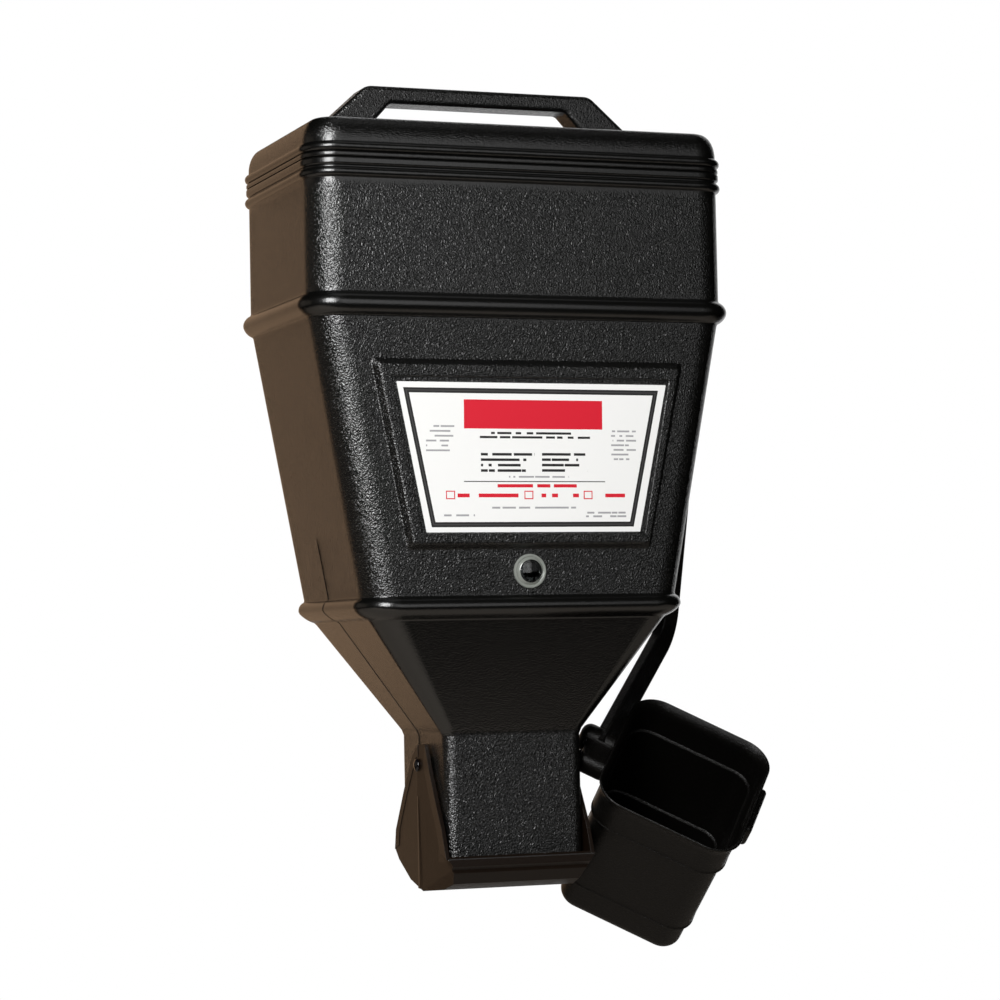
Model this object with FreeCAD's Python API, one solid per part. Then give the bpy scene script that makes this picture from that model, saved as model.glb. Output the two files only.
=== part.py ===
import FreeCAD, Part
import math
import os
from FreeCAD import Placement, Rotation, Vector

os.makedirs("parts", exist_ok=True)

# Gravity bulk food bin: a moulded wall-hung hopper with a lift-off lid, a swinging
# gate under its spout and a measuring scoop hung on a peg at its right side.
# Origin on the wall plane, at mid width, level with the centre of the upper bead.
# X to the right, Y into the wall, Z up. The front of the bin faces -Y.

# Hopper
wall = 4.0
body_width = 380.0
body_depth = 212.0
body_round = 27.0
upper_height = 123.0
taper_height = 255.5
taper_foot_width = 285.6
taper_foot_depth = 204.0
funnel_height = 108.0
spout_width = 127.2
spout_depth = 117.0
spout_setback = 45.0
spout_length = 109.0
spout_slant = 12.0
spout_round = 10.0

# Beads and rim of the hopper
bead_reach = 7.0
bead_height = 19.0
rim_bead_reach = 3.7
rim_bead_height = 8.4
rim_bead_drop = 12.5
rim_land_reach = 2.4
rim_land_height = 7.4
rim_chamfer = 1.0

# Wall fixing holes
fixing_hole = 6.5
fixing_pitch_across = 200.0
fixing_pitch_up = 240.0
fixing_upper_level = 60.0

# Raised label frame on the front
frame_top_drop = 46.0
frame_height = 160.0
frame_top_width = 284.0
frame_foot_width = 222.0
frame_border = 15.0
frame_raise = 6.0
frame_bevel = 5.0
frame_round = 12.0
frame_edge_chamfer = 1.2
frame_recess = 2.4
card_slack = 2.2
card_thickness = 0.5

# Window in the front, its centre so far up the front from the level of the middle bead
window_rise = 30.125
window_hole = 22.0
window_flange = 29.5
window_flange_thickness = 2.0
window_dome = 3.4
window_stem_wall = 1.8
window_stem_length = 13.0
window_ring_width = 34.0
window_ring_thickness = 3.0

# Lid
lid_height = 35.6
lid_wall = 4.0
lid_top_round = 12.0
lid_seat_gap = 0.3
lid_bead_reach = 3.5
lid_bead_height = 8.0
lid_bead_rise = 8.6
lid_land_reach = 2.2
lid_land_height = 4.0
lip_depth = 14.0
lip_thickness = 3.0
lip_slack = 1.0

# Grip on the lid
grip_base_width = 298.0
grip_top_width = 196.0
grip_rise = 44.5
grip_thickness = 30.0
grip_bar_height = 15.0
grip_gap_base_width = 206.0
grip_gap_top_width = 150.0
grip_outer_round = 14.0
grip_inner_round = 7.0
grip_edge_chamfer = 2.4

# Gate
pivot_from_wall = 102.0
pivot_below_funnel = 27.5
gate_side_gap = 1.5
gate_plate = 3.0
gate_tray = 3.0
gate_reach = 70.0
gate_below_spout = 27.5
gate_strip_raise = 1.2
gate_lip_reach = 3.0
gate_lip_drop = 6.0
gate_ridge_top_width = 6.0
gate_ridge_foot_width = 12.0
gate_spot_margin = 1.0

# Gate outline, as shares of its reach forward and its drop below the pins
gate_front_shares = (
    (-0.18, 0.17),
    (-0.29, 0.165),
    (-0.47, -0.08),
    (-0.64, -0.27),
    (-0.85, -0.49),
    (-1.0, -0.72),
)
gate_foot_shares = (
    (-0.97, -0.83),
    (-0.83, -0.92),
    (-0.56, -0.975),
    (-0.11, -1.0),
    (0.35, -0.925),
    (0.78, -0.78),
)
gate_back_shares = (
    (0.92, -0.70),
    (0.87, -0.54),
    (0.53, -0.21),
    (0.18, 0.08),
    (-0.03, 0.165),
)
gate_strip_centre_share = 0.5
gate_front_strip_share = 0.24
gate_back_strip_share = 0.17
gate_lip_foot_share = 0.75
gate_ridge_start_share = 0.25
gate_ridge_foot_share = 0.2
gate_ridge_crest_share = 0.1

# Gate pins, with a washer and a push-on retainer each
pin_diameter = 6.0
pin_head_diameter = 12.5
pin_head_height = 3.6
pin_head_gap = 0.2
pin_slack = 0.08
pin_tail = 4.0
washer_diameter = 15.0
washer_thickness = 1.3
retainer_diameter = 15.0
retainer_thickness = 1.6

# Hanging peg through a moulded boss on the right side
peg_from_wall = 113.0
peg_drop = 75.0
peg_diameter = 8.0
peg_flange_diameter = 18.0
peg_flange_thickness = 2.5
peg_reach = 24.0
peg_tip_chamfer = 1.6
peg_tail = 10.0
peg_boss_diameter = 26.0
peg_boss_reach = 6.9
peg_boss_inside = 3.1
peg_washer_diameter = 20.0
peg_washer_thickness = 1.6
peg_nut_across = 13.0
peg_nut_sides = 6
peg_nut_height = 6.5

# Radial clearance of a fixed pin, stem or screw in its hole
bore_slack = 0.1

# Scoop cup in its own frame: mouth plane at zero, depth below it
cup_width = 127.0
cup_length = 141.0
cup_upper_height = 37.0
cup_middle_height = 80.0
cup_foot_height = 34.0
cup_wall = 2.6
cup_round = 24.0
cup_step = 2.6
cup_foot_round = 12.0
cup_rim_reach = 1.6
cup_rim_height = 3.0

# Place of the cup: its gap to the gate, the middle of its mouth, and its angles
cup_gate_gap = 1.3
cup_mouth_front = 171.0
cup_mouth_drop = 405.2
cup_turn = -24.05
cup_tilt = 26.45
cup_roll = 40.44

# Handle socket and side pad on the cup
socket_out = 28.0
socket_front = 29.0
socket_back = 20.0
socket_top = 2.5
socket_depth = 28.0
socket_chamfer = 3.5
pad_out = 9.0
pad_length = 58.0
pad_depth = 22.0
pad_chamfer = 2.4

# Scoop handle: a flat bar with one bend and an eye at its upper end
bar_width = 15.0
bar_thickness = 11.0
bar_edge_chamfer = 1.2
bar_bend_radius = 34.0
bar_seat_out = 16.5
bar_seat_depth = 14.0
bar_in_socket = 24.0
bar_slack = 0.15
bend_from_eye = 7.5
bend_from_wall = 65.0
bend_drop = 278.0
eye_diameter = 24.0
eye_thickness = 15.0
eye_slack = 0.3
eye_side_gap = 1.5

# Screws through the socket into the bar
screw_diameter = 4.0
screw_head_diameter = 8.0
screw_head_height = 2.4
screw_pitch = 16.0
screw_pair_shift = 6.0
screw_bite = 4.0

# Flat steps that stand for each rounded corner, small turned piece and rounded edge
body_corner_steps = 6
frame_corner_steps = 4
cup_corner_steps = 5
turned_sides = 24
lid_round_steps = 5
cup_foot_steps = 4

# A bead's section, as shares of its height and reach, and a dome's, as shares of its radius
bead_shares = (
    (0.5, 0.0),
    (0.42, 0.45),
    (0.25, 0.85),
    (0.0, 1.0),
    (-0.25, 0.85),
    (-0.42, 0.45),
    (-0.5, 0.0),
)
dome_shares = (1.0, 0.85, 0.6, 0.25)

# One overrun for every cut, and one slack for finding an edge by its place
overrun = 20.0
find_slack = 0.05

X_AXIS = Vector(1, 0, 0)
Z_AXIS = Vector(0, 0, 1)
ORIGIN = Vector(0, 0, 0)
FULL_TURN = 360
QUARTER_TURN = 90


def save(name, shape):
    shape.exportStep("parts/" + name + ".step")


def fused(shapes):
    return shapes[0].fuse(shapes[1:]).removeSplitter()


def flat_solid(wire, direction):
    return Part.Face(wire).extrude(direction)


def closed(points):
    return Part.makePolygon(list(points) + [points[0]])


def cylinder(radius, start, direction, length):
    return Part.makeCylinder(radius, length, start, direction)


def block(low, high):
    size = high - low
    return Part.makeBox(size.x, size.y, size.z, low)


def mirrored(shape):
    return shape.mirror(ORIGIN, X_AXIS)


def set_down(shape, place):
    """Copy of a shape with its own frame carried to a place."""
    moved = shape.copy()
    moved.Placement = place.multiply(shape.Placement)
    return moved


def facing(start, direction):
    """Place whose Z axis runs along a direction."""
    return Placement(start, Rotation(Z_AXIS, direction))


def corner_centres(half_width, front, back, corner, level):
    """Corner axes of a rounded rectangle, each with the angle where its arc starts."""
    right = half_width - corner
    return (
        (Vector(right, -back - corner, level), 0),
        (Vector(-right, -back - corner, level), 90),
        (Vector(-right, -front + corner, level), 180),
        (Vector(right, -front + corner, level), 270),
    )


def at_angle(centre, radius, degrees):
    angle = math.radians(degrees)
    return centre + Vector(math.cos(angle), math.sin(angle), 0) * radius


def round_rect(half_width, front, back, corner, level, steps):
    """Points of a rounded rectangle at one level, from the wall distance back to front."""
    points = []
    for centre, start in corner_centres(half_width, front, back, corner, level):
        for index in range(steps + 1):
            points.append(at_angle(centre, corner, start + QUARTER_TURN * index / steps))
    return points


def round_polygon(points, corners):
    """Points of a closed outline, each corner rounded by its own radius."""
    outline = []
    count = len(points)
    for index, point in enumerate(points):
        corner = corners[index]
        if corner == 0:
            outline.append(point)
            continue
        before = (points[index - 1] - point).normalize()
        after = (points[(index + 1) % count] - point).normalize()
        half_angle = before.getAngle(after) / 2
        reach = corner / math.tan(half_angle)
        centre = point + (before + after).normalize() * (corner / math.sin(half_angle))
        first = point + before * reach - centre
        last = point + after * reach - centre
        sweep = math.pi - half_angle * 2
        for step in range(frame_corner_steps + 1):
            turn = sweep * step / frame_corner_steps
            mixed = first * math.sin(sweep - turn) + last * math.sin(turn)
            outline.append(centre + mixed * (1 / math.sin(sweep)))
    return outline


def stacked(rings):
    """Solid through rings of equally many points, with flat strips between them."""
    faces = [Part.Face(closed(rings[0])), Part.Face(closed(rings[-1]))]
    for lower, upper in zip(rings, rings[1:]):
        for index, point in enumerate(lower):
            strip = [lower[index - 1], point, upper[index], upper[index - 1]]
            faces.append(Part.Face(closed(strip)))
    solid = Part.makeSolid(Part.makeShell(faces))
    if solid.Volume < 0:
        solid.reverse()
    return solid


def bead_rows(level, reach, height):
    """Levels and reaches of a round bead, from its top to its foot."""
    return [(level + height * up, reach * out) for up, out in bead_shares]


def turned(profile):
    """Turned piece on the Z axis with flat sides, from pairs of radius and height."""
    rings = []
    for radius, height in profile:
        centre = Vector(0, 0, height)
        turns = [FULL_TURN * index / turned_sides for index in range(turned_sides)]
        rings.append([at_angle(centre, radius, turn) for turn in turns])
    return stacked(rings)


def domed_head(radius, height):
    """Shallow dome that stands on the XY plane."""
    ball_radius = (radius * radius + height * height) / (2 * height)
    profile = []
    for share in dome_shares:
        reach = radius * share
        rise = math.sqrt(ball_radius * ball_radius - reach * reach)
        profile.append((reach, rise - ball_radius + height))
    return turned(profile)


def ring(outer, inner, thickness):
    """Flat ring that stands on the XY plane."""
    disc = turned(((outer / 2, 0), (outer / 2, thickness)))
    return disc.cut(cylinder(inner / 2, ORIGIN, Z_AXIS, thickness))


# Levels, half sizes and places that the pieces share
window_drop = math.hypot(taper_height, body_depth - taper_foot_depth) - window_rise
pivot_drop = taper_height + funnel_height + pivot_below_funnel
gate_drop = spout_length - pivot_below_funnel + gate_below_spout
rim_level = upper_height
taper_level = -taper_height
spout_top_level = taper_level - funnel_height
spout_foot_level = spout_top_level - spout_length
body_half = body_width / 2
taper_foot_half = taper_foot_width / 2
spout_half = spout_width / 2
spout_front = spout_setback + spout_depth
body_table = (
    (body_half, body_depth, 0, body_round, rim_level),
    (body_half, body_depth, 0, body_round, 0),
    (taper_foot_half, taper_foot_depth, 0, body_round, taper_level),
    (spout_half, spout_front, spout_setback, spout_round, spout_top_level),
    (spout_half, spout_front, spout_setback, spout_round, spout_foot_level),
)
side_slope = (body_half - taper_foot_half) / taper_height
face_lean = math.degrees(math.atan((body_depth - taper_foot_depth) / taper_height))
front_place = Placement(Vector(0, -body_depth, 0), Rotation(X_AXIS, face_lean))
window_place = facing(
    front_place.multVec(Vector(0, 0, -window_drop)),
    front_place.Rotation.multVec(Vector(0, -1, 0)),
)
pivot = Vector(0, -pivot_from_wall, -pivot_drop)
gate_inner = spout_half + gate_side_gap
gate_outer = gate_inner + gate_plate
pin_head_face = gate_outer + pin_head_gap
peg_boss_face = body_half - side_slope * peg_drop + peg_boss_reach
peg_boss_depth = peg_boss_reach + wall + peg_boss_inside
peg_start = Vector(peg_boss_face, -peg_from_wall, -peg_drop)
peg_inner_start = peg_start - X_AXIS * peg_boss_depth


def body_ring(level, grow):
    """Outline of the hopper's wall at a level, moved outward by grow."""
    for above, below in zip(body_table, body_table[1:]):
        if level >= below[-1]:
            break
    share = (above[-1] - level) / (above[-1] - below[-1])
    share = min(1, max(0, share))
    half, front, back, corner = [a + (b - a) * share for a, b in zip(above[:-1], below[:-1])]
    return round_rect(half + grow, front + grow, back - grow, corner + grow, level, body_corner_steps)


# Hopper
def hopper_outside():
    """Upper box, taper, funnel and spout with the rim land and all three beads."""
    land_foot = rim_level - rim_land_height
    rows = [
        (rim_level, rim_land_reach - rim_chamfer),
        (rim_level - rim_chamfer, rim_land_reach),
        (land_foot + rim_land_reach, rim_land_reach),
        (land_foot, 0),
    ]
    rows += bead_rows(rim_level - rim_bead_drop, rim_bead_reach, rim_bead_height)
    rows += bead_rows(0, bead_reach, bead_height)
    rows += bead_rows(taper_level, bead_reach, bead_height)
    rows += [(spout_top_level, 0), (spout_foot_level, 0)]
    return stacked([body_ring(level, grow) for level, grow in rows])


def hopper_inside():
    levels = (rim_level + overrun, 0, taper_level, spout_top_level, spout_foot_level - overrun)
    return stacked([body_ring(level, -wall) for level in levels])


def frame_ring(grow, out, corner):
    """Outline of the label frame, moved out or in by the same amount on all sides."""
    slope = (frame_top_width - frame_foot_width) / 2 / frame_height
    side = grow * math.sqrt(1 + slope * slope)
    top = -frame_top_drop + grow
    foot = -frame_top_drop - frame_height - grow
    top_half = frame_top_width / 2 + side + slope * grow
    foot_half = frame_foot_width / 2 + side - slope * grow
    points = [
        Vector(-foot_half, -out, foot),
        Vector(foot_half, -out, foot),
        Vector(top_half, -out, top),
        Vector(-top_half, -out, top),
    ]
    return round_polygon(points, [corner] * len(points))


def label_frame():
    shoulder = frame_bevel * (1 - frame_edge_chamfer / frame_raise)
    rows = (
        (0, -wall / 2),
        (0, 0),
        (-shoulder, frame_raise - frame_edge_chamfer),
        (-frame_bevel - frame_edge_chamfer, frame_raise),
    )
    pad = stacked([frame_ring(grow, out, frame_round + grow) for grow, out in rows])
    recess = frame_ring(-frame_border, frame_raise - frame_recess, frame_bevel)
    pad = pad.cut(flat_solid(closed(recess), Vector(0, -overrun, 0)))
    return set_down(pad, front_place)


def behind_wall_plane():
    low = Vector(-body_width, 0, spout_foot_level - overrun)
    return block(low, Vector(body_width, body_depth, rim_level + lid_height + overrun))


def spout_trim():
    """Block that trims the mouth of the spout on a slant, higher at the back."""
    slant = math.degrees(math.atan(spout_slant / spout_depth))
    trim = block(
        Vector(-spout_width, -overrun, -spout_length),
        Vector(spout_width, spout_depth + overrun, 0),
    )
    front_foot = Vector(0, -spout_front, spout_foot_level)
    return set_down(trim, Placement(front_foot, Rotation(X_AXIS, slant)))


def fixing_holes():
    holes = []
    for level in (fixing_upper_level, fixing_upper_level - fixing_pitch_up):
        for side in (-1, 1):
            start = Vector(side * fixing_pitch_across / 2, overrun, level)
            holes.append(cylinder(fixing_hole / 2, start, Vector(0, -1, 0), overrun * 2))
    return holes


def across(radius, centre):
    """Cutter along X, long enough to pass through both sides of the body."""
    return cylinder(radius, Vector(-body_width, centre.y, centre.z), X_AXIS, body_width * 2)


def peg_boss():
    return cylinder(peg_boss_diameter / 2, peg_start, X_AXIS * -1, peg_boss_depth)


def hopper():
    shape = fused([hopper_outside(), label_frame()])
    shape = shape.cut([behind_wall_plane(), hopper_inside()])
    shape = shape.fuse(peg_boss())
    window_cut = cylinder(window_hole / 2, Vector(0, 0, overrun), Z_AXIS * -1, overrun * 2)
    peg_end = peg_inner_start - X_AXIS * overrun
    cuts = fixing_holes()
    cuts.append(spout_trim())
    cuts.append(set_down(window_cut, window_place))
    cuts.append(across(pin_diameter / 2 + bore_slack, pivot))
    cuts.append(cylinder(peg_diameter / 2 + bore_slack, peg_end, X_AXIS, peg_boss_depth + overrun * 2))
    return shape.cut(cuts).removeSplitter()


# Label card
def label_card():
    outline = frame_ring(-frame_border - card_slack, frame_raise - frame_recess, frame_bevel)
    return set_down(flat_solid(closed(outline), Vector(0, -card_thickness, 0)), front_place)


# Window
window_stem_radius = window_hole / 2 - bore_slack


def window_lens():
    """Clear plug: a domed flange outside the wall and a hollow stem through it."""
    dome = domed_head(window_flange / 2, window_dome)
    dome.translate(Z_AXIS * window_flange_thickness)
    flange = turned(((window_flange / 2, 0), (window_flange / 2, window_flange_thickness)))
    stem = cylinder(window_stem_radius, ORIGIN, Z_AXIS * -1, window_stem_length)
    bore_radius = window_stem_radius - window_stem_wall
    bore_top = Z_AXIS * (window_flange_thickness / 2)
    bore = cylinder(bore_radius, bore_top, Z_AXIS * -1, window_stem_length * 2)
    return set_down(fused([flange, dome, stem]).cut(bore), window_place)


def window_ring():
    """Retaining ring pushed over the stem from inside the hopper."""
    shape = ring(window_ring_width, window_stem_radius * 2, window_ring_thickness)
    shape.translate(Z_AXIS * (-wall - window_ring_thickness))
    return set_down(shape, window_place)


# Lid
lid_foot = rim_level + lid_seat_gap
lid_top = rim_level + lid_height


def body_prism(inset, low, high):
    """Upright block with the body's outline, drawn in by the inset."""
    return stacked([lid_ring(low, -inset), lid_ring(high, -inset)])


def lid_ring(level, grow):
    return round_rect(
        body_half + grow, body_depth + grow, -grow, body_round + grow, level, body_corner_steps
    )


def lid_outside():
    """Skirt with its land and bead, and the rounded top."""
    rows = [
        (lid_foot, lid_land_reach - rim_chamfer),
        (lid_foot + rim_chamfer, lid_land_reach),
        (lid_foot + lid_land_height - rim_chamfer, lid_land_reach),
    ]
    rows += bead_rows(lid_foot + lid_bead_rise, lid_bead_reach, lid_bead_height)[::-1]
    for step in range(lid_round_steps + 1):
        turn = math.pi / 2 * step / lid_round_steps
        rise = lid_top - lid_top_round + lid_top_round * math.sin(turn)
        rows.append((rise, lid_top_round * (math.cos(turn) - 1)))
    return stacked([lid_ring(level, grow) for level, grow in rows])


def lid_lip():
    """Collar under the lid that drops inside the hopper's mouth."""
    inset = wall + lip_slack
    collar = body_prism(inset, lid_foot - lip_depth, lid_foot + lid_wall)
    return collar.cut(body_prism(inset + lip_thickness, lid_foot - lip_depth, lid_foot + lid_wall))


def grip_ring(inset, front):
    """Outline of the grip at one distance from the wall, drawn in on all its edges."""
    base = lid_top - lid_wall / 2
    top = lid_top + grip_rise
    under = top - grip_bar_height
    outer_slope = (grip_base_width - grip_top_width) / 2 / (top - base)
    inner_slope = (grip_gap_base_width - grip_gap_top_width) / 2 / (under - base)
    outer_shift = inset * math.sqrt(1 + outer_slope * outer_slope)
    inner_shift = inset * math.sqrt(1 + inner_slope * inner_slope)
    outer_base = grip_base_width / 2 - outer_shift
    outer_top = grip_top_width / 2 - outer_shift + outer_slope * inset
    inner_base = grip_gap_base_width / 2 + inner_shift
    inner_top = grip_gap_top_width / 2 + inner_shift - inner_slope * inset
    points = [
        Vector(-outer_base, -front, base),
        Vector(-outer_top, -front, top - inset),
        Vector(outer_top, -front, top - inset),
        Vector(outer_base, -front, base),
        Vector(inner_base, -front, base),
        Vector(inner_top, -front, under + inset),
        Vector(-inner_top, -front, under + inset),
        Vector(-inner_base, -front, base),
    ]
    outer = grip_outer_round - inset
    inner = grip_inner_round + inset
    return round_polygon(points, [0, outer, outer, 0, 0, inner, inner, 0])


def grip():
    """Trapezoid arch moulded across the middle of the lid, with chamfered edges."""
    back = (body_depth - grip_thickness) / 2
    front = back + grip_thickness
    return stacked([
        grip_ring(grip_edge_chamfer, back),
        grip_ring(0, back + grip_edge_chamfer),
        grip_ring(0, front - grip_edge_chamfer),
        grip_ring(grip_edge_chamfer, front),
    ])


def lid():
    hollow = body_prism(lid_wall, lid_foot - overrun, lid_top - lid_wall)
    shell = lid_outside().cut([behind_wall_plane(), hollow])
    shelf = body_prism(lid_wall / 2, lid_foot, lid_foot + lid_wall)
    shelf = shelf.cut(body_prism(wall + lip_slack + lip_thickness, lid_foot, lid_foot + lid_wall))
    return fused([shell, shelf, lid_lip(), grip()])


# Gate
def gate_point(shares):
    forward, up = shares
    return pivot + Vector(0, forward * gate_reach, up * gate_drop)


def gate_points(table):
    return [gate_point(shares) for shares in table]


def toward(point, target, share):
    return point + (target - point) * share


def edge_strip(points, share):
    """Raised strip between an edge of the plate and the same edge drawn inward."""
    centre = pivot - Z_AXIS * gate_drop * gate_strip_centre_share
    inner = [toward(point, centre, share) for point in points]
    return flat_solid(closed(points + inner[::-1]), X_AXIS * gate_strip_raise)


def gate_ridge():
    """Low ridge from below the pin to the foot, which stiffens the plate."""
    foot = gate_points(gate_foot_shares)
    top = pivot - Z_AXIS * gate_drop * gate_ridge_start_share
    bottom = toward(foot[3], foot[4], gate_ridge_foot_share)
    top_half = Vector(0, gate_ridge_top_width / 2, 0)
    foot_half = Vector(0, gate_ridge_foot_width / 2, 0)
    base = [top - top_half, bottom - foot_half, bottom + foot_half, top + top_half]
    middles = (top, bottom, bottom, top)
    crest = []
    for point, middle in zip(base, middles):
        crest.append(toward(middle, point, gate_ridge_crest_share) + X_AXIS * gate_strip_raise)
    return Part.makeLoft([closed(base), closed(crest)], True, True)


def gate_side():
    """Right side plate: a flat fan with strips, a ridge and a flat spot round the pin."""
    front = gate_points(gate_front_shares)
    foot = gate_points(gate_foot_shares)
    back = gate_points(gate_back_shares)
    plate = flat_solid(closed(front + foot + back), X_AXIS * gate_plate)
    raised = [
        edge_strip(front[1:], gate_front_strip_share),
        edge_strip(back, gate_back_strip_share),
        gate_ridge(),
    ]
    spot_radius = pin_head_diameter / 2 + gate_spot_margin
    spot = cylinder(spot_radius, pivot, X_AXIS, gate_strip_raise)
    shapes = [plate]
    for solid in raised:
        solid = solid.cut(spot)
        solid.translate(X_AXIS * gate_plate)
        shapes.append(solid)
    side = fused(shapes)
    side.translate(X_AXIS * gate_inner)
    return side


def gate_tray_solid():
    """Folded floor between the side plates, under the mouth of the spout."""
    path = gate_points(gate_front_shares[-1:] + gate_foot_shares + gate_back_shares[:2])
    inner = []
    for point in path:
        inner.append(point + (pivot - point).normalize() * gate_tray)
    tray = flat_solid(closed(path + inner[::-1]), X_AXIS * gate_outer * 2)
    lip_top = path[0]
    lip = [
        lip_top,
        lip_top + Vector(0, -gate_lip_reach, 0),
        lip_top + Vector(0, -gate_lip_reach, -gate_lip_drop),
        toward(path[0], path[1], gate_lip_foot_share),
    ]
    lip_solid = flat_solid(closed(lip), X_AXIS * gate_outer * 2)
    shape = fused([tray, lip_solid])
    shape.translate(X_AXIS * -gate_outer)
    return shape


def gate():
    """Cradle: two side plates joined by a folded tray that closes the spout."""
    shape = fused([gate_tray_solid(), gate_side(), mirrored(gate_side())])
    return shape.cut(across(pin_diameter / 2 + pin_slack, pivot)).removeSplitter()


# Gate pins, washers and retainers, one set each side
def on_pivot(shape, start, side):
    """Carry a shape drawn on Z onto the pivot line, facing out at one side."""
    return set_down(shape, facing(pivot + X_AXIS * side * start, X_AXIS * side))


def gate_pin(side):
    length = pin_head_face - spout_half + wall + pin_tail
    head = domed_head(pin_head_diameter / 2, pin_head_height)
    shank = cylinder(pin_diameter / 2, ORIGIN, Z_AXIS * -1, length)
    return on_pivot(fused([head, shank]), pin_head_face, side)


def gate_washer(side):
    bore = pin_diameter + pin_slack * 2
    return on_pivot(ring(washer_diameter, bore, washer_thickness), spout_half, side)


def gate_retainer(side):
    start = spout_half - wall - retainer_thickness
    return on_pivot(ring(retainer_diameter, pin_diameter, retainer_thickness), start, side)


# Hanging peg with its washer and nut
def hanging_peg():
    shank = cylinder(peg_diameter / 2, peg_start, X_AXIS, peg_reach)
    tip = [edge for edge in shank.Edges if edge.BoundBox.XMin > peg_start.x + peg_reach - find_slack]
    shank = shank.makeChamfer(peg_tip_chamfer, tip)
    flange = turned(((peg_flange_diameter / 2, 0), (peg_flange_diameter / 2, peg_flange_thickness)))
    flange = set_down(flange, facing(peg_start, X_AXIS))
    tail = cylinder(peg_diameter / 2, peg_start, X_AXIS * -1, peg_boss_depth + peg_tail)
    return fused([shank, flange, tail])


def peg_washer():
    shape = ring(peg_washer_diameter, peg_diameter + bore_slack * 2, peg_washer_thickness)
    return set_down(shape, facing(peg_inner_start, X_AXIS * -1))


def peg_nut():
    corner_radius = peg_nut_across / 2 / math.cos(math.pi / peg_nut_sides)
    corners = [
        at_angle(ORIGIN, corner_radius, FULL_TURN * index / peg_nut_sides)
        for index in range(peg_nut_sides)
    ]
    prism = flat_solid(closed(corners), Z_AXIS * peg_nut_height)
    prism = prism.cut(cylinder(peg_diameter / 2, ORIGIN, Z_AXIS, peg_nut_height))
    return set_down(prism, facing(peg_inner_start - X_AXIS * peg_washer_thickness, X_AXIS * -1))


# Scoop cup
cup_half = cup_width / 2
cup_first_level = cup_upper_height
cup_second_level = cup_first_level + cup_middle_height
cup_depth = cup_second_level + cup_foot_height


def cup_ring(depth, inset):
    half_length = cup_length / 2 - inset
    corner = cup_round - inset
    return round_rect(cup_half - inset, half_length, -half_length, corner, -depth, cup_corner_steps)


def cup_tiers(inset, top, foot):
    """Three tiers, each narrower than the one above by a step; the last has a round foot."""
    first = cup_first_level - inset
    second = cup_second_level - inset
    last = inset + cup_step * 2
    rows = [
        (top, inset),
        (first, inset),
        (first, inset + cup_step),
        (second, inset + cup_step),
        (second, last),
    ]
    turn_radius = cup_foot_round - inset
    for step in range(cup_foot_steps + 1):
        turn = math.pi / 2 * step / cup_foot_steps
        rise = turn_radius * (1 - math.sin(turn))
        rows.append((foot - rise, last + turn_radius * (1 - math.cos(turn))))
    return stacked([cup_ring(depth, drawn_in) for depth, drawn_in in rows])


def side_lug(inner, outer, front, back, depth, corner):
    """Block on one side wall of the cup, with its outer edges chamfered."""
    low = Vector(min(inner, outer), -front, -socket_top - depth)
    lug = block(low, Vector(max(inner, outer), back, -socket_top))
    middle = (inner + outer) / 2
    if outer > inner:
        edges = [edge for edge in lug.Edges if edge.BoundBox.XMin > middle]
    else:
        edges = [edge for edge in lug.Edges if edge.BoundBox.XMax < middle]
    return lug.makeChamfer(corner, edges)


def cup_outside():
    socket_inner = -cup_half + cup_wall
    socket_outer = -cup_half - socket_out
    pad_inner = cup_half - cup_wall
    pad_outer = cup_half + pad_out
    return fused([
        cup_tiers(0, 0, cup_depth),
        stacked([cup_ring(0, -cup_rim_reach), cup_ring(cup_rim_height, -cup_rim_reach)]),
        side_lug(socket_inner, socket_outer, socket_front, socket_back, socket_depth, socket_chamfer),
        side_lug(pad_inner, pad_outer, pad_length / 2, pad_length / 2, pad_depth, pad_chamfer),
    ])


# The cup hangs beside the gate: its socket clears the gate's strips by the named gap.
cup_turned = Placement(ORIGIN, Rotation(cup_turn, cup_tilt, cup_roll))
cup_reach_left = set_down(cup_outside(), cup_turned).optimalBoundingBox(True, False).XMin
cup_mouth = Vector(
    gate_outer + gate_strip_raise + cup_gate_gap - cup_reach_left,
    -cup_mouth_front,
    -cup_mouth_drop,
)
cup_place = Placement(cup_mouth, cup_turned.Rotation)


# Line of the handle: seat in the socket, bend, and eye on the peg
seat_local = Vector(-cup_half - bar_seat_out, (socket_back - socket_front) / 2, -bar_seat_depth)
seat = cup_place.multVec(seat_local)
eye_reach = peg_flange_thickness + eye_side_gap + eye_thickness / 2
eye = peg_start + X_AXIS * eye_reach
bend = Vector(eye.x - bend_from_eye, -bend_from_wall, -bend_drop)
lower_run = bend - seat
upper_run = eye - bend
bend_angle = lower_run.getAngle(upper_run)


def bar_place():
    """Origin at the seat, X along the lower run, Y toward the side that the bar bends to."""
    along = Vector(lower_run).normalize()
    normal = along.cross(upper_run).normalize()
    side = normal.cross(along)
    matrix = FreeCAD.Matrix(
        along.x, side.x, normal.x, seat.x,
        along.y, side.y, normal.y, seat.y,
        along.z, side.z, normal.z, seat.z,
        0, 0, 0, 1,
    )
    return Placement(matrix)


def bar_socket():
    """Slot for the foot of the bar, wider than the bar by its slack."""
    width = bar_width + bar_slack * 2
    thickness = bar_thickness + bar_slack * 2
    low = Vector(-bar_in_socket - bar_slack, -thickness / 2, -width / 2)
    high = Vector(socket_out + socket_depth, thickness / 2, width / 2)
    return set_down(block(low, high), bar_place())


def screw_place(index):
    """Screws run square to the outer face of the socket, one behind the other."""
    along = Vector(lower_run).normalize()
    offset = screw_pitch * index - screw_pitch / 2 - screw_pair_shift
    local = cup_place.inverse().multVec(seat + along * offset)
    face = Vector(-cup_half - socket_out, local.y, local.z)
    return facing(cup_place.multVec(face), cup_place.Rotation.multVec(X_AXIS) * -1)


screw_length = socket_out - bar_seat_out + screw_bite


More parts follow.
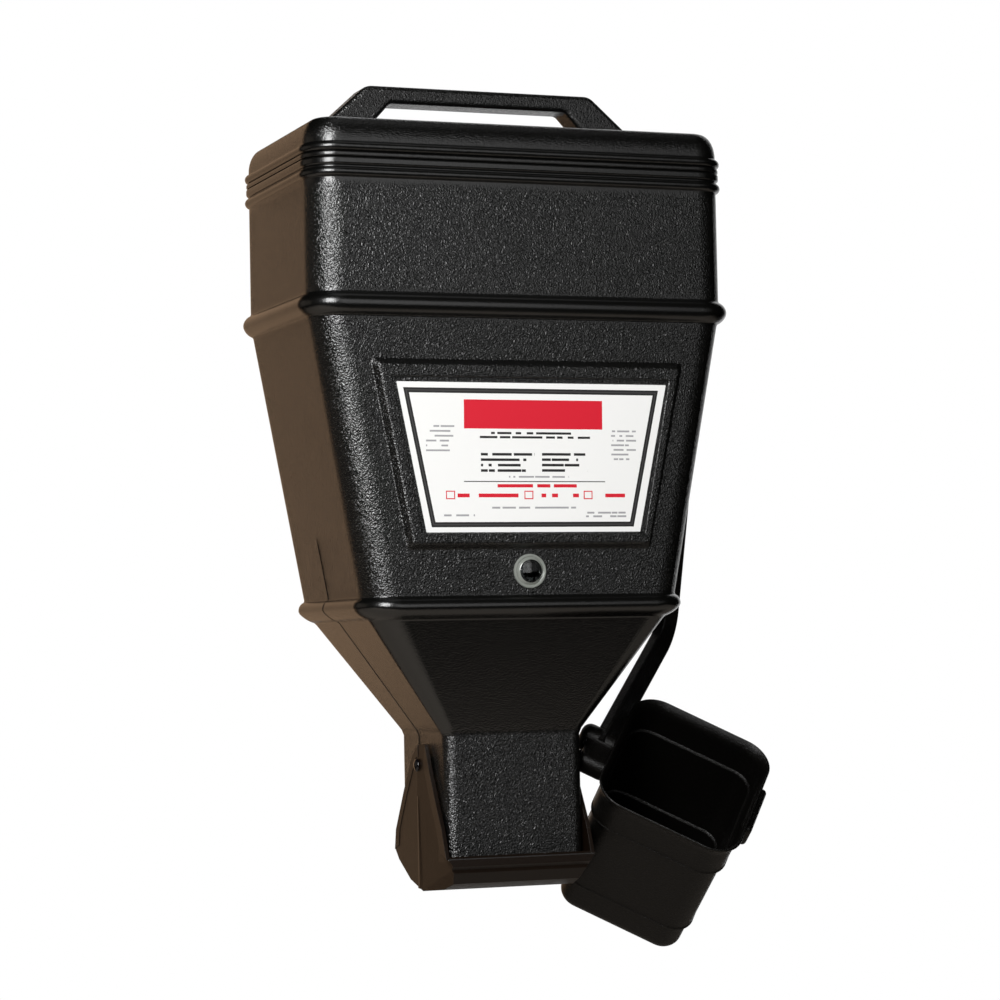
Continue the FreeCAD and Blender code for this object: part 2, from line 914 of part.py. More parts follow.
def screw_hole(index, radius):
    start = Vector(0, 0, -screw_length)
    return set_down(cylinder(radius, start, Z_AXIS, screw_length + overrun), screw_place(index))


def handle_screw(index):
    head = domed_head(screw_head_diameter / 2, screw_head_height)
    shank = cylinder(screw_diameter / 2, ORIGIN, Z_AXIS * -1, screw_length)
    return set_down(fused([head, shank]), screw_place(index))


def scoop_cup():
    hollow = cup_tiers(cup_wall, 0, cup_depth - cup_wall)
    above = stacked([cup_ring(-overrun, cup_wall), cup_ring(0, cup_wall)])
    shape = set_down(cup_outside().cut([hollow, above]), cup_place)
    cuts = [bar_socket()]
    for index in (0, 1):
        cuts.append(screw_hole(index, screw_diameter / 2 + bore_slack))
    return shape.cut(cuts).removeSplitter()


# Scoop handle
def bar_outline():
    """Two straight runs joined by a bend, in the plane of the bar."""
    half = bar_thickness / 2
    tangent = bar_bend_radius * math.tan(bend_angle / 2)
    ahead = Vector(math.cos(bend_angle), math.sin(bend_angle), 0)
    aside = Vector(-math.sin(bend_angle), math.cos(bend_angle), 0)
    up = Vector(0, half, 0)
    start = Vector(-bar_in_socket, 0, 0)
    bend_start = Vector(lower_run.Length - tangent, 0, 0)
    bend_end = Vector(lower_run.Length, 0, 0) + ahead * tangent
    end = Vector(lower_run.Length, 0, 0) + ahead * upper_run.Length
    centre = bend_start + Vector(0, bar_bend_radius, 0)
    outer_middle = at_angle(centre, bar_bend_radius + half, math.degrees(bend_angle / 2) - QUARTER_TURN)
    inner_middle = at_angle(centre, bar_bend_radius - half, math.degrees(bend_angle / 2) - QUARTER_TURN)
    across_end = aside * half
    return Part.Wire([
        Part.makeLine(start - up, bend_start - up),
        Part.Arc(bend_start - up, outer_middle, bend_end - across_end).toShape(),
        Part.makeLine(bend_end - across_end, end - across_end),
        Part.makeLine(end - across_end, end + across_end),
        Part.makeLine(end + across_end, bend_end + across_end),
        Part.Arc(bend_end + across_end, inner_middle, bend_start + up).toShape(),
        Part.makeLine(bend_start + up, start + up),
        Part.makeLine(start + up, start - up),
    ])


def scoop_handle():
    bar = flat_solid(bar_outline(), Z_AXIS * bar_width)
    bar.translate(Z_AXIS * (-bar_width / 2))
    long_edges = []
    for edge in bar.Edges:
        if edge.BoundBox.ZLength < find_slack and edge.Length > bar_thickness + find_slack:
            long_edges.append(edge)
    bar = set_down(bar.makeChamfer(bar_edge_chamfer, long_edges), bar_place())
    eye_start = eye - X_AXIS * (eye_thickness / 2)
    shape = bar.fuse(cylinder(eye_diameter / 2, eye_start, X_AXIS, eye_thickness))
    hole_start = eye_start - X_AXIS * overrun
    cuts = [cylinder(peg_diameter / 2 + eye_slack, hole_start, X_AXIS, eye_thickness + overrun * 2)]
    for index in (0, 1):
        cuts.append(screw_hole(index, screw_diameter / 2))
    return shape.cut(cuts).removeSplitter()


save("hopper", hopper())
save("lid", lid())
save("label_card", label_card())
save("window_lens", window_lens())
save("window_ring", window_ring())
save("gate", gate())
for side_name, side in (("left", -1), ("right", 1)):
    save("gate_pin_" + side_name, gate_pin(side))
    save("gate_washer_" + side_name, gate_washer(side))
    save("gate_retainer_" + side_name, gate_retainer(side))
save("hanging_peg", hanging_peg())
save("peg_washer", peg_washer())
save("peg_nut", peg_nut())
save("scoop_cup", scoop_cup())
save("scoop_handle", scoop_handle())
for index, screw_name in enumerate(("front", "back")):
    save("handle_screw_" + screw_name, handle_screw(index))
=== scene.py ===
import math

import bmesh
import bpy
from mathutils import Matrix, Vector


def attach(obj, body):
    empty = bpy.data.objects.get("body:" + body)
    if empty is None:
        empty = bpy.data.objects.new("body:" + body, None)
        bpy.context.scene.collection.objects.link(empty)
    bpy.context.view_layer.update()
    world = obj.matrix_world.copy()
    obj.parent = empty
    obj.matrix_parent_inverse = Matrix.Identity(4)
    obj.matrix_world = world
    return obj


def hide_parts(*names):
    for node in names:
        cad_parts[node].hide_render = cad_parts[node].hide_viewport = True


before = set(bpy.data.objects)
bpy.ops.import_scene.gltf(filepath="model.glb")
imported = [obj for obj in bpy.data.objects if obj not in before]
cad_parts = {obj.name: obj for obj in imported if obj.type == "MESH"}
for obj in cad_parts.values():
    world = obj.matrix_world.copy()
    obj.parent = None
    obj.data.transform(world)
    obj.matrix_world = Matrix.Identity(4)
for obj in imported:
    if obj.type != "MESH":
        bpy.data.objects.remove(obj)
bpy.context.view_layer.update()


# Hopper
# One large moulding in black polyethylene with a leather grain. Its walls are 4 mm thick,
# three round beads stiffen it, and a fine witness line runs down each side.
MM = 0.001
WALL = 4.0
CORNER_STEPS = 12
# Half width, front, back and corner radius of the box, of the taper's foot and of the spout.
BODY = (190.0, 212.0, 0.0, 27.0)
TAPER_FOOT = (142.8, 204.0, 0.0, 27.0)
SPOUT = (63.6, 162.0, 45.0, 10.0)
RIM, TAPER_Z, SPOUT_Z, SPOUT_FOOT = 123.0, -255.5, -363.5, -472.4
FACE_LEAN = math.atan((BODY[1] - TAPER_FOOT[1]) / -TAPER_Z)
SPOUT_SLANT, SPOUT_EDGE = 12.0 / 117.0, 0.6
WITNESS_Y, WITNESS_HALF, WITNESS_RAISE, WITNESS_TOP = -94.0, 0.7, 0.45, -190.0
# Level and reach of the rim's land from the top down.
RIM_LAND = [
    (RIM, 0.8), (RIM - 0.3, 1.7), (RIM - 1.0, 2.3), (RIM - 1.8, 2.4),
    (118.2, 2.4), (117.3, 2.1), (116.2, 1.0), (115.4, 0.15),
]
# Reach, height and fillet of the small bead below the rim and of the two large ones.
SMALL_BEAD_Z, SMALL_BEAD = 110.5, (3.7, 8.4, 0.6)
LARGE_BEAD, LARGE_BEAD_STEPS = (7.0, 19.0, 1.6), 11


def outline(half, front, back, corner, witness=0.0):
    """Rounded rectangle seen from above. Unless witness is None, both long sides carry a
    line that is raised by so much."""
    points = []
    spots = (
        (half - corner, -back - corner, 0),
        (corner - half, -back - corner, 90),
        (corner - half, corner - front, 180),
        (half - corner, corner - front, 270),
    )
    for middle_x, middle_y, first in spots:
        for step in range(CORNER_STEPS + 1):
            turn = math.radians(first + 90 * step / CORNER_STEPS)
            points.append((middle_x + corner * math.cos(turn), middle_y + corner * math.sin(turn)))
        if witness is not None and first in (90, 270):
            side = -1 if first == 90 else 1
            for shift, raise_by in ((1, 0), (0, witness), (-1, 0)):
                points.append((side * (half + raise_by), WITNESS_Y - side * shift * WITNESS_HALF))
    return points


def body_at(level):
    """Half width, front, back and corner of the hopper's wall at one level."""
    if level >= 0:
        return BODY
    if level < SPOUT_Z:
        return SPOUT
    high, low, top, foot = (0, TAPER_Z, BODY, TAPER_FOOT)
    if level < TAPER_Z:
        high, low, top, foot = (TAPER_Z, SPOUT_Z, TAPER_FOOT, SPOUT)
    share = (high - level) / (high - low)
    return [a + (b - a) * share for a, b in zip(top, foot)]


def bulge(middle, reach, height, fillet, steps=7):
    """Levels and reaches of a round bead with a small fillet above and below, from the top."""
    radius = (reach * reach + height * height / 4) / (2 * reach)
    rows = [(height / 2 + fillet, 0.0), (height / 2 + fillet * 0.3, reach * 0.05)]
    limit = math.asin(min(1.0, (height / 2 - fillet * 0.15) / radius))
    for step in range(steps + 1):
        turn = limit * (1 - 2 * step / steps)
        rows.append((radius * math.sin(turn), reach - radius + radius * math.cos(turn)))
    rows += [(-height / 2 - fillet * 0.3, reach * 0.05), (-height / 2 - fillet, 0.0)]
    return [(middle + rise, max(out, 0.0)) for rise, out in rows]


def made(name, mesh, sharp=40):
    """Object from a bmesh: doubles merged, faces outward, smooth but for sharp edges."""
    bmesh.ops.remove_doubles(mesh, verts=mesh.verts, dist=1e-6)
    bmesh.ops.recalc_face_normals(mesh, faces=mesh.faces)
    data = bpy.data.meshes.new(name)
    mesh.to_mesh(data)
    mesh.free()
    data.polygons.foreach_set("use_smooth", [True] * len(data.polygons))
    data.set_sharp_from_angle(angle=math.radians(sharp))
    piece = bpy.data.objects.new(name, data)
    bpy.context.collection.objects.link(piece)
    return piece


def shell(name, loops, ring=False):
    """Skin over loops of equally many points in mm. The ends are capped, or meet in a ring."""
    mesh = bmesh.new()
    rows = [[mesh.verts.new([value * MM for value in point]) for point in loop] for loop in loops]
    pairs = list(zip(rows, rows[1:]))
    if ring:
        pairs.append((rows[-1], rows[0]))
    for low, high in pairs:
        for index in range(len(low)):
            after = (index + 1) % len(low)
            mesh.faces.new((low[index], low[after], high[after], high[index]))
    if not ring:
        mesh.faces.new(rows[0][::-1])
        mesh.faces.new(rows[-1])
    return made(name, mesh)


def settled(piece):
    """The piece with its modifiers worked into its mesh."""
    graph = bpy.context.evaluated_depsgraph_get()
    mesh = bpy.data.meshes.new_from_object(piece.evaluated_get(graph))
    piece.modifiers.clear()
    piece.data = mesh
    return piece


def turned(name, profile, start, direction, steps=48, ring=False):
    """Turned piece: radius and height pairs in mm, run round an axis from a start point."""
    turn = Vector(direction).to_track_quat("Z", "Y")
    loops = []
    for radius, height in profile:
        loop = []
        for step in range(steps):
            angle = math.tau * step / steps
            local = Vector((radius * math.cos(angle), radius * math.sin(angle), height))
            loop.append(Vector(start) + turn @ local)
        loops.append(loop)
    return shell(name, loops, ring)


def drill(radius, spot_at, direction, reach=20):
    """Round cutter that reaches equally far to both sides of a spot."""
    return turned("hole", ((radius, -reach), (radius, reach)), spot_at, direction)


def drilled(piece, cutters):
    """The piece less the cutters, which are deleted."""
    for cutter in cutters:
        cut = piece.modifiers.new("Hole", "BOOLEAN")
        cut.operation, cut.solver, cut.object = "DIFFERENCE", "EXACT", cutter
    settled(piece)
    for cutter in cutters:
        bpy.data.objects.remove(cutter)
    return piece


def joined(pieces):
    """Several meshes as one object, the first one."""
    mesh = bmesh.new()
    for piece in pieces:
        mesh.from_mesh(piece.data)
    mesh.to_mesh(pieces[0].data)
    mesh.free()
    for piece in pieces[1:]:
        bpy.data.objects.remove(piece)
    return pieces[0]


def weighted(piece):
    """Large flat faces keep their own direction where they meet small round ones."""
    normals = piece.modifiers.new("Flats", "WEIGHTED_NORMAL")
    normals.keep_sharp = True
    return piece


def hopper_loop(level, grow, witness=0.0, slant=0.0):
    """Outline of the hopper's wall at one level, moved out by grow. A slant lifts its back."""
    half, front, back, corner = body_at(level)
    around = outline(half + grow, front + grow, back - grow, corner + grow, witness)
    return [(x, min(y, 0.0), level + slant * (y + SPOUT[1])) for x, y in around]


outer_rows = RIM_LAND + bulge(SMALL_BEAD_Z, *SMALL_BEAD)[1:]
outer_rows += bulge(0.0, *LARGE_BEAD, LARGE_BEAD_STEPS)
outer_rows += [(WITNESS_TOP, 0.0), (WITNESS_TOP - 8.0, 0.0)]
outer_rows += bulge(TAPER_Z, *LARGE_BEAD, LARGE_BEAD_STEPS)
outer_rows += [(SPOUT_Z + 2.5, 0.0), (SPOUT_Z - 2.5, 0.0)]
hopper_loops = []
for level, grow in outer_rows:
    hopper_loops.append(hopper_loop(level, grow, WITNESS_RAISE if level < WITNESS_TOP else 0.0))
for lift, grow, witness in (
    (SPOUT_EDGE, 0.0, WITNESS_RAISE), (0.0, -SPOUT_EDGE, 0.0),
    (0.0, SPOUT_EDGE - WALL, 0.0), (SPOUT_EDGE, -WALL, 0.0),
):
    hopper_loops.append(hopper_loop(SPOUT_FOOT + lift, grow, witness, SPOUT_SLANT))
for level in (SPOUT_Z, TAPER_Z, 0.0, RIM - 0.7):
    hopper_loops.append(hopper_loop(level, -WALL))
hopper_loops.append(hopper_loop(RIM, -WALL + 0.8))
hopper = shell("hopper_moulding", hopper_loops, ring=True)

ALONG_X, ALONG_Y = (1, 0, 0), (0, 1, 0)
WINDOW_DROP, WINDOW_HOLE = 225.5, 11.0
FIXING_X, FIXING_LEVELS, FIXING_HOLE = 100.0, (60.0, -180.0), 3.25
PIVOT_Y, PIVOT_Z, PIN_HOLE = -102.0, -391.0, 3.1
PEG_SPOT, PEG_HOLE = Vector((183.04, -113.0, -75.0)), 4.1
front_lean = Matrix.Translation((0, -BODY[1] * MM, 0)) @ Matrix.Rotation(FACE_LEAN, 4, "X")
front_out = (front_lean.to_3x3() @ Vector((0, -1, 0))).normalized()
window_spot = (front_lean @ Vector((0, 0, -WINDOW_DROP * MM))) / MM
holes = [drill(WINDOW_HOLE, window_spot, front_out)]
for level in FIXING_LEVELS:
    for side in (-1, 1):
        holes.append(drill(FIXING_HOLE, (side * FIXING_X, 0, level), ALONG_Y))
for side in (-1, 1):
    holes.append(drill(PIN_HOLE, (side * SPOUT[0], PIVOT_Y, PIVOT_Z), ALONG_X))
holes.append(drill(PEG_HOLE, PEG_SPOT, ALONG_X, 30))
hopper = drilled(hopper, holes)
boss_rows = ((PEG_HOLE, -14), (13, -14), (13, -0.8), (12.2, 0), (4.6, 0), (PEG_HOLE, -0.5))
boss = turned("peg_boss", boss_rows, PEG_SPOT, ALONG_X)

# The label frame: its corners across and up, its sloping land, and its corner radii.
FRAME_OUTER = ((-109.5, -206.0), (112.0, -206.0), (144.0, -46.2), (-141.0, -46.2))
FRAME_INNER = ((-96.8, -193.0), (105.3, -193.0), (129.2, -61.4), (-123.9, -61.4))
FRAME_LAND, FRAME_ROUND, FRAME_ROUND_LESS = 15.0, 4.0, 2.6


def rounded(points, corners, steps=8):
    """Closed outline through the points, each corner rounded by its own radius."""
    result = []
    for index, point in enumerate(points):
        spot_at = Vector(point)
        before = (Vector(points[index - 1]) - spot_at).normalized()
        after = (Vector(points[(index + 1) % len(points)]) - spot_at).normalized()
        radius = corners[index]
        if radius <= 0:
            result.append(spot_at)
            continue
        half_angle = before.angle(after) / 2
        middle = spot_at + (before + after).normalized() * (radius / math.sin(half_angle))
        reach = radius / math.tan(half_angle)
        first, last = spot_at + before * reach - middle, spot_at + after * reach - middle
        sweep = first.angle(last)
        for step in range(steps + 1):
            share = step / steps
            near, far = math.sin((1 - share) * sweep), math.sin(share * sweep)
            result.append(middle + (first * near + last * far) / math.sin(sweep))
    return result


def on_front(corners, radius, out):
    """Outline through corners on the leaning front, at one height above it."""
    flat = rounded(corners, [radius] * len(corners))
    return [front_lean @ Vector((x * MM, -out * MM, z * MM)) / MM for x, z in flat]


def frame_loop(grow, out):
    """Outline of the label frame, moved in or out between its outer and its inner edge."""
    share = -grow / FRAME_LAND
    corners = []
    for outer, inner in zip(FRAME_OUTER, FRAME_INNER):
        corners.append([a + (b - a) * share for a, b in zip(outer, inner)])
    return on_front(corners, FRAME_ROUND - FRAME_ROUND_LESS * max(0.0, min(1.0, share)), out)


frame_rows = (
    (1.0, -1.0), (1.0, 0.0), (0.3, 0.15), (-0.3, 0.7), (-3.6, 4.7), (-4.5, 5.5), (-5.6, 5.9),
    (-6.8, 6.0), (-13.4, 6.0), (-14.3, 5.8), (-14.8, 5.3), (-15.0, 4.6), (-15.0, 3.6),
)
label_frame = shell("label_frame", [frame_loop(grow, out) for grow, out in frame_rows])
hopper = weighted(joined([hopper, boss, label_frame]))


def linear(colour):
    """A hex colour as linear red, green, blue and alpha."""
    values = [int(colour[index:index + 2], 16) / 255 for index in (1, 3, 5)]
    lit = [v / 12.92 if v <= 0.04045 else ((v + 0.055) / 1.055) ** 2.4 for v in values]
    return lit + [1.0]


def darker(colour, share):
    """A hex colour as linear values, darker by a share."""
    return [value * (1 - share) for value in linear(colour)[:3]] + [1.0]


def add(tree, kind, settings):
    """Adds a node: its properties, the values of its sockets, and links as (node, output)."""
    node = tree.nodes.new(kind)
    for key, value in settings.items():
        if isinstance(key, str) and hasattr(node, key):
            setattr(node, key, value)
        elif isinstance(value, tuple) and isinstance(value[0], bpy.types.Node):
            tree.links.new(value[0].outputs[value[1]], node.inputs[key])
        else:
            node.inputs[key].default_value = value
    return node


def finish_tree(name):
    """An empty material and its node tree."""
    material = bpy.data.materials.new(name)
    material.use_nodes = True
    material.node_tree.nodes.clear()
    return material, material.node_tree


# Levels in metres between which the moulds' polish is told apart, and the flow marks' width.
POLISH_LOW, POLISH_HIGH = -0.5, 0.25
FLOW_MARK_MM = 6.25


def moulded_black(name, colour, roughness, grain_mm, depth_mm, specular, stops=((0.0, 1.0),)):
    """Black plastic from a textured mould. Its soft pebbles, about 2.5 mm across on the real
    bin, break up every highlight, and faint upright flow marks vary its gloss. They are drawn
    deeper than real ones, so that they show. The pattern lies askew, because noise turns flat
    on a plane of its own lattice. Where the mould was polished the pebbles are fainter:
    stops are (height in mm, share) from the foot up."""
    material, tree = finish_tree(name)
    grain = grain_mm * MM
    place = add(tree, "ShaderNodeTexCoord", {})
    askew = add(tree, "ShaderNodeMapping", {
        "Vector": (place, "Object"), "Rotation": (0.7, 0.4, 0.9),
    })
    warp = add(tree, "ShaderNodeTexNoise", {
        "Vector": (askew, "Vector"), "Scale": 0.8 / grain, "Detail": 0.0,
    })
    moved = add(tree, "ShaderNodeVectorMath", {
        "operation": "MULTIPLY_ADD",
        0: (warp, "Color"), 1: (grain * 0.5,) * 3, 2: (askew, "Vector"),
    })
    pebbles = add(tree, "ShaderNodeTexNoise", {
        "Vector": (moved, "Vector"), "Scale": 2.3 / grain, "Detail": 0.5, "Roughness": 0.4,
    })
    cells = add(tree, "ShaderNodeTexVoronoi", {
        "feature": "SMOOTH_F1",
        "Vector": (moved, "Vector"), "Scale": 1.25 / grain, "Smoothness": 0.8,
    })
    height = add(tree, "ShaderNodeMath", {
        "operation": "MULTIPLY_ADD", 0: (cells, "Distance"), 1: 0.4, 2: (pebbles, "Fac"),
    })
    split = add(tree, "ShaderNodeSeparateXYZ", {"Vector": (place, "Object")})
    level = add(tree, "ShaderNodeMapRange", {
        "Value": (split, "Z"), "From Min": POLISH_LOW, "From Max": POLISH_HIGH,
    })
    share = add(tree, "ShaderNodeValToRGB", {"Fac": (level, "Result")})
    ramp = share.color_ramp.elements
    ramp[0].color = [stops[0][1]] * 3 + [1]
    ramp[1].color = [stops[-1][1]] * 3 + [1]
    for spot_at, strength in stops:
        along = (spot_at * MM - POLISH_LOW) / (POLISH_HIGH - POLISH_LOW)
        ramp.new(along).color = (strength, strength, strength, 1)
    bump = add(tree, "ShaderNodeBump", {
        "Height": (height, "Value"), "Strength": (share, "Color"), "Distance": depth_mm * MM,
    })
    stretch = add(tree, "ShaderNodeMapping", {"Vector": (place, "Object"), "Scale": (1, 1, 0.04)})
    marks = add(tree, "ShaderNodeTexNoise", {
        "Vector": (stretch, "Vector"), "Scale": 1 / (FLOW_MARK_MM * MM), "Detail": 4.0,
    })
    gloss = add(tree, "ShaderNodeMapRange", {
        "Value": (marks, "Fac"), "To Min": roughness - 0.02, "To Max": roughness + 0.03,
    })
    tone = add(tree, "ShaderNodeMix", {
        "data_type": "RGBA", "Factor": (marks, "Fac"), 6: linear(colour), 7: darker(colour, 0.2),
    })
    surface = add(tree, "ShaderNodeBsdfPrincipled", {
        "Base Color": (tone, 2), "Roughness": (gloss, "Result"), "Normal": (bump, "Normal"),
        "IOR": 1.54, "Specular IOR Level": specular,
    })
    add(tree, "ShaderNodeOutputMaterial", {"Surface": (surface, "BSDF")})
    return material


def painted(piece, material):
    """The piece with one material in place of all it had."""
    piece.data.materials.clear()
    piece.data.materials.append(material)
    return piece


# Satin polyethylene: full grain on the flats, and almost none on the beads and the funnel.
polished_beads = (
    (-480, 1.0), (-366, 1.0), (-356, 0.2), (-268, 0.2), (-262, 0.12), (-249, 0.12), (-243, 1.0),
    (-14, 1.0), (-8, 0.12), (8, 0.12), (14, 1.0), (99, 1.0), (105, 0.15), (130, 0.15),
)
bin_plastic = moulded_black(
    "polyethylene_leather_grain", "#080807", 0.24, 2.5, 0.62, 0.72, polished_beads,
)
painted(hopper, bin_plastic)
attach(hopper, "bin")
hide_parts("hopper")


# Label card
# A printed card that lies in the recess of the frame: coated white stock with a black
# border, a plain red band, rows of short bars and three tick boxes. It carries no words.
CARD = ((-94.2, -192.3), (101.4, -192.3), (127.0, -65.4), (-120.0, -65.4))
CARD_ROUND, CARD_LEVELS = 0.6, (3.6, 3.7, 4.05, 4.1)
BORDER_TOP, BORDER_FOOT, BORDER_WIDE, INLINE = -70.4, -188.0, 4.3, (1.8, 2.5)
# How far the border's left and right edges stand out at its top, and how much they slant.
BORDER_LEFT, LEFT_SLANT, BORDER_RIGHT, RIGHT_SLANT = 114.2, 0.2092, 119.6, 0.2058
BAND = (-60.0, 66.8, -104.6, -80.0)
FINE_RULE = (-60.4, 69.0, -149.8, -149.0)
BOX_STARTS, BOX_SIZE, BOX_LINE, BOX_FOOT, BOX_TOP = (-76.7, -5.7, 48.9), 8.2, 0.9, -164.4, -157.2
# Rows of bars: left, right, top, rows, pitch, thickness and how uneven they end, all in mm.
FAINT_ROWS = (
    (-94.2, -68.0, -102.0, 6, 4.1, 1.5, 9.0), (74.9, 99.0, -105.2, 7, 4.0, 1.5, 9.0),
    (-19.6, 35.4, -144.6, 1, 3.0, 1.5, 0.0), (-36.2, 41.7, -170.8, 1, 3.0, 1.6, 0.0),
    (-78.6, -50.8, -177.2, 1, 3.0, 1.6, 0.0), (50.9, 89.2, -175.2, 2, 3.1, 1.6, 3.0),
)
STRONG_ROWS = (
    (-35.6, 37.7, -107.3, 1, 3.0, 1.9, 0.0), (-46.5, 55.3, -110.8, 1, 3.0, 1.9, 0.0),
    (-45.0, 4.0, -125.2, 4, 4.6, 2.2, 14.0), (10.7, 53.7, -125.0, 4, 4.6, 2.2, 12.0),
)
RED_ROWS = (
    (-30.1, 42.6, -151.6, 1, 3.2, 2.8, 0.0), (-66.3, -11.1, -159.6, 1, 3.6, 3.2, 0.0),
    (4.5, 44.5, -159.6, 1, 3.6, 3.2, 0.0), (60.4, 87.5, -159.6, 1, 3.6, 3.2, 0.0),
)
card = shell("label_card_sheet", [on_front(CARD, CARD_ROUND, out) for out in CARD_LEVELS])
material, tree = finish_tree("coated_card_printed")
place = add(tree, "ShaderNodeTexCoord", {})
in_mm = add(tree, "ShaderNodeVectorMath", {
    "operation": "MULTIPLY", 0: (place, "Object"), 1: (1 / MM,) * 3,
})
split = add(tree, "ShaderNodeSeparateXYZ", {"Vector": (in_mm, "Vector")})
across, rise = (split, "X"), (split, "Z")


def inside(value, low, high):
    """1 where a value lies between two others, and 0 elsewhere."""
    above = add(tree, "ShaderNodeMath", {"operation": "GREATER_THAN", 0: value, 1: low})
    below = add(tree, "ShaderNodeMath", {"operation": "LESS_THAN", 0: value, 1: high})
    both = add(tree, "ShaderNodeMath", {"operation": "MULTIPLY", 0: (above, 0), 1: (below, 0)})
    return (both, 0)


def overlap(masks):
    """1 where all of the masks are."""
    total = masks[0]
    for mask in masks[1:]:
        total = (add(tree, "ShaderNodeMath", {"operation": "MULTIPLY", 0: total, 1: mask}), 0)
    return total


def either(masks):
    """1 where any of the masks is."""
    total = masks[0]
    for mask in masks[1:]:
        total = (add(tree, "ShaderNodeMath", {"operation": "MAXIMUM", 0: total, 1: mask}), 0)
    return total


def oblong(left, right, foot, top):
    """Mask of a plain rectangle on the card."""
    return overlap([inside(across, left, right), inside(rise, foot, top)])


def tick_box(left):
    """Mask of a small empty square."""
    right, line = left + BOX_SIZE, BOX_LINE
    hollow = oblong(left + line, right - line, BOX_FOOT + line, BOX_TOP - line)
    outer = oblong(left, right, BOX_FOOT, BOX_TOP)
    return (add(tree, "ShaderNodeMath", {"operation": "SUBTRACT", 0: outer, 1: hollow}), 0)


def short_rows(left, right, top, count, pitch, thick, ragged):
    """Mask of rows of short bars in place of print: broken at random, uneven at their ends."""
    drop = add(tree, "ShaderNodeMath", {"operation": "SUBTRACT", 0: top, 1: rise})
    rows = add(tree, "ShaderNodeMath", {"operation": "DIVIDE", 0: (drop, 0), 1: pitch})
    row = add(tree, "ShaderNodeMath", {"operation": "FLOOR", 0: (rows, 0)})
    rest = add(tree, "ShaderNodeMath", {"operation": "FRACT", 0: (rows, 0)})
    depth = add(tree, "ShaderNodeMath", {"operation": "MULTIPLY", 0: (rest, 0), 1: pitch})
    along_row = add(tree, "ShaderNodeMath", {"operation": "MULTIPLY", 0: across, 1: 0.33 / thick})
    row_apart = add(tree, "ShaderNodeMath", {"operation": "MULTIPLY", 0: (row, 0), 1: 7.3})
    spot_at = add(tree, "ShaderNodeCombineXYZ", {
        "X": (along_row, 0), "Y": (row_apart, 0), "Z": left,
    })
    breaks = add(tree, "ShaderNodeTexNoise", {"Vector": (spot_at, 0), "Scale": 1.0, "Detail": 0.0})
    seed = add(tree, "ShaderNodeMath", {"operation": "ADD", 0: (row, 0), 1: right})
    ends = add(tree, "ShaderNodeTexWhiteNoise", {"noise_dimensions": "1D", "W": (seed, 0)})
    row_end = add(tree, "ShaderNodeMath", {
        "operation": "MULTIPLY_ADD", 0: (ends, "Value"), 1: -ragged, 2: right,
    })
    return overlap([
        inside((depth, 0), 0.0, thick), inside((breaks, "Fac"), 0.39, 2.0),
        inside(across, left, (row_end, 0)), inside(rise, top - count * pitch, top),
    ])


left_edge = add(tree, "ShaderNodeMath", {
    "operation": "MULTIPLY_ADD", 0: rise, 1: LEFT_SLANT, 2: BORDER_LEFT - LEFT_SLANT * BORDER_TOP,
})
right_edge = add(tree, "ShaderNodeMath", {
    "operation": "MULTIPLY_ADD",
    0: rise, 1: RIGHT_SLANT, 2: BORDER_RIGHT - RIGHT_SLANT * BORDER_TOP,
})
gaps = (
    add(tree, "ShaderNodeMath", {"operation": "ADD", 0: across, 1: (left_edge, 0)}),
    add(tree, "ShaderNodeMath", {"operation": "SUBTRACT", 0: (right_edge, 0), 1: across}),
    add(tree, "ShaderNodeMath", {"operation": "SUBTRACT", 0: BORDER_TOP, 1: rise}),
    add(tree, "ShaderNodeMath", {"operation": "SUBTRACT", 0: rise, 1: BORDER_FOOT}),
)
edge_gap = gaps[0]
for gap in gaps[1:]:
    edge_gap = add(tree, "ShaderNodeMath", {"operation": "MINIMUM", 0: (edge_gap, 0), 1: (gap, 0)})
border = inside((edge_gap, 0), 0.0, BORDER_WIDE)
inline = inside((edge_gap, 0), *INLINE)
faint = either([short_rows(*row) for row in FAINT_ROWS])
strong = either([short_rows(*row) for row in STRONG_ROWS] + [oblong(*FINE_RULE), border])
red = either([oblong(*BAND)] + [tick_box(left) for left in BOX_STARTS])
red = either([red] + [short_rows(*row) for row in RED_ROWS])
# White coated stock, and grey, black and red ink that lies flat in the same soft gloss.
ink = linear("#f6f6f4")
for mask, colour in (
    (faint, "#a4a4a6"), (strong, "#1b1a1a"), (inline, "#444343"), (red, "#d8122c"),
):
    inked = add(tree, "ShaderNodeMix", {
        "data_type": "RGBA", "Factor": mask, 6: ink, 7: linear(colour),
    })
    ink = (inked, 2)
surface = add(tree, "ShaderNodeBsdfPrincipled", {"Base Color": ink, "Roughness": 0.35, "IOR": 1.5})
add(tree, "ShaderNodeOutputMaterial", {"Surface": (surface, "BSDF")})
painted(card, material)
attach(card, "bin")
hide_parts("label_card")


# Sight window
# A clear polycarbonate plug with a domed middle, pushed through the front wall and held by
# a black ring from inside. Its flange is whitish and only half clear, a painted highlight
# for the light that catches the edge of a clear flange.
# Beyond this reach from the axis and above this height, the flange carries the painted highlight.
PAINTED_RING_FROM, PAINTED_RING_ABOVE = 9.4, -0.5
lens_rows = (
    (9.1, -13.0), (10.9, -13.0), (10.9, 0.0), (14.3, 0.0), (14.75, 0.4), (14.75, 1.5),
    (14.3, 2.2), (13.3, 2.5), (12.5, 2.2), (12.0, 1.9), (11.5, 2.3), (10.9, 3.1), (9.9, 3.7),
    (8.8, 4.0), (6.0, 4.7), (3.0, 5.1), (0.5, 5.2),
)
lens_inner = ((0.5, 1.0), (8.6, 1.0), (9.1, 0.6), (9.1, -13.0))
lens = turned("window_plug", lens_rows + lens_inner, window_spot, front_out)


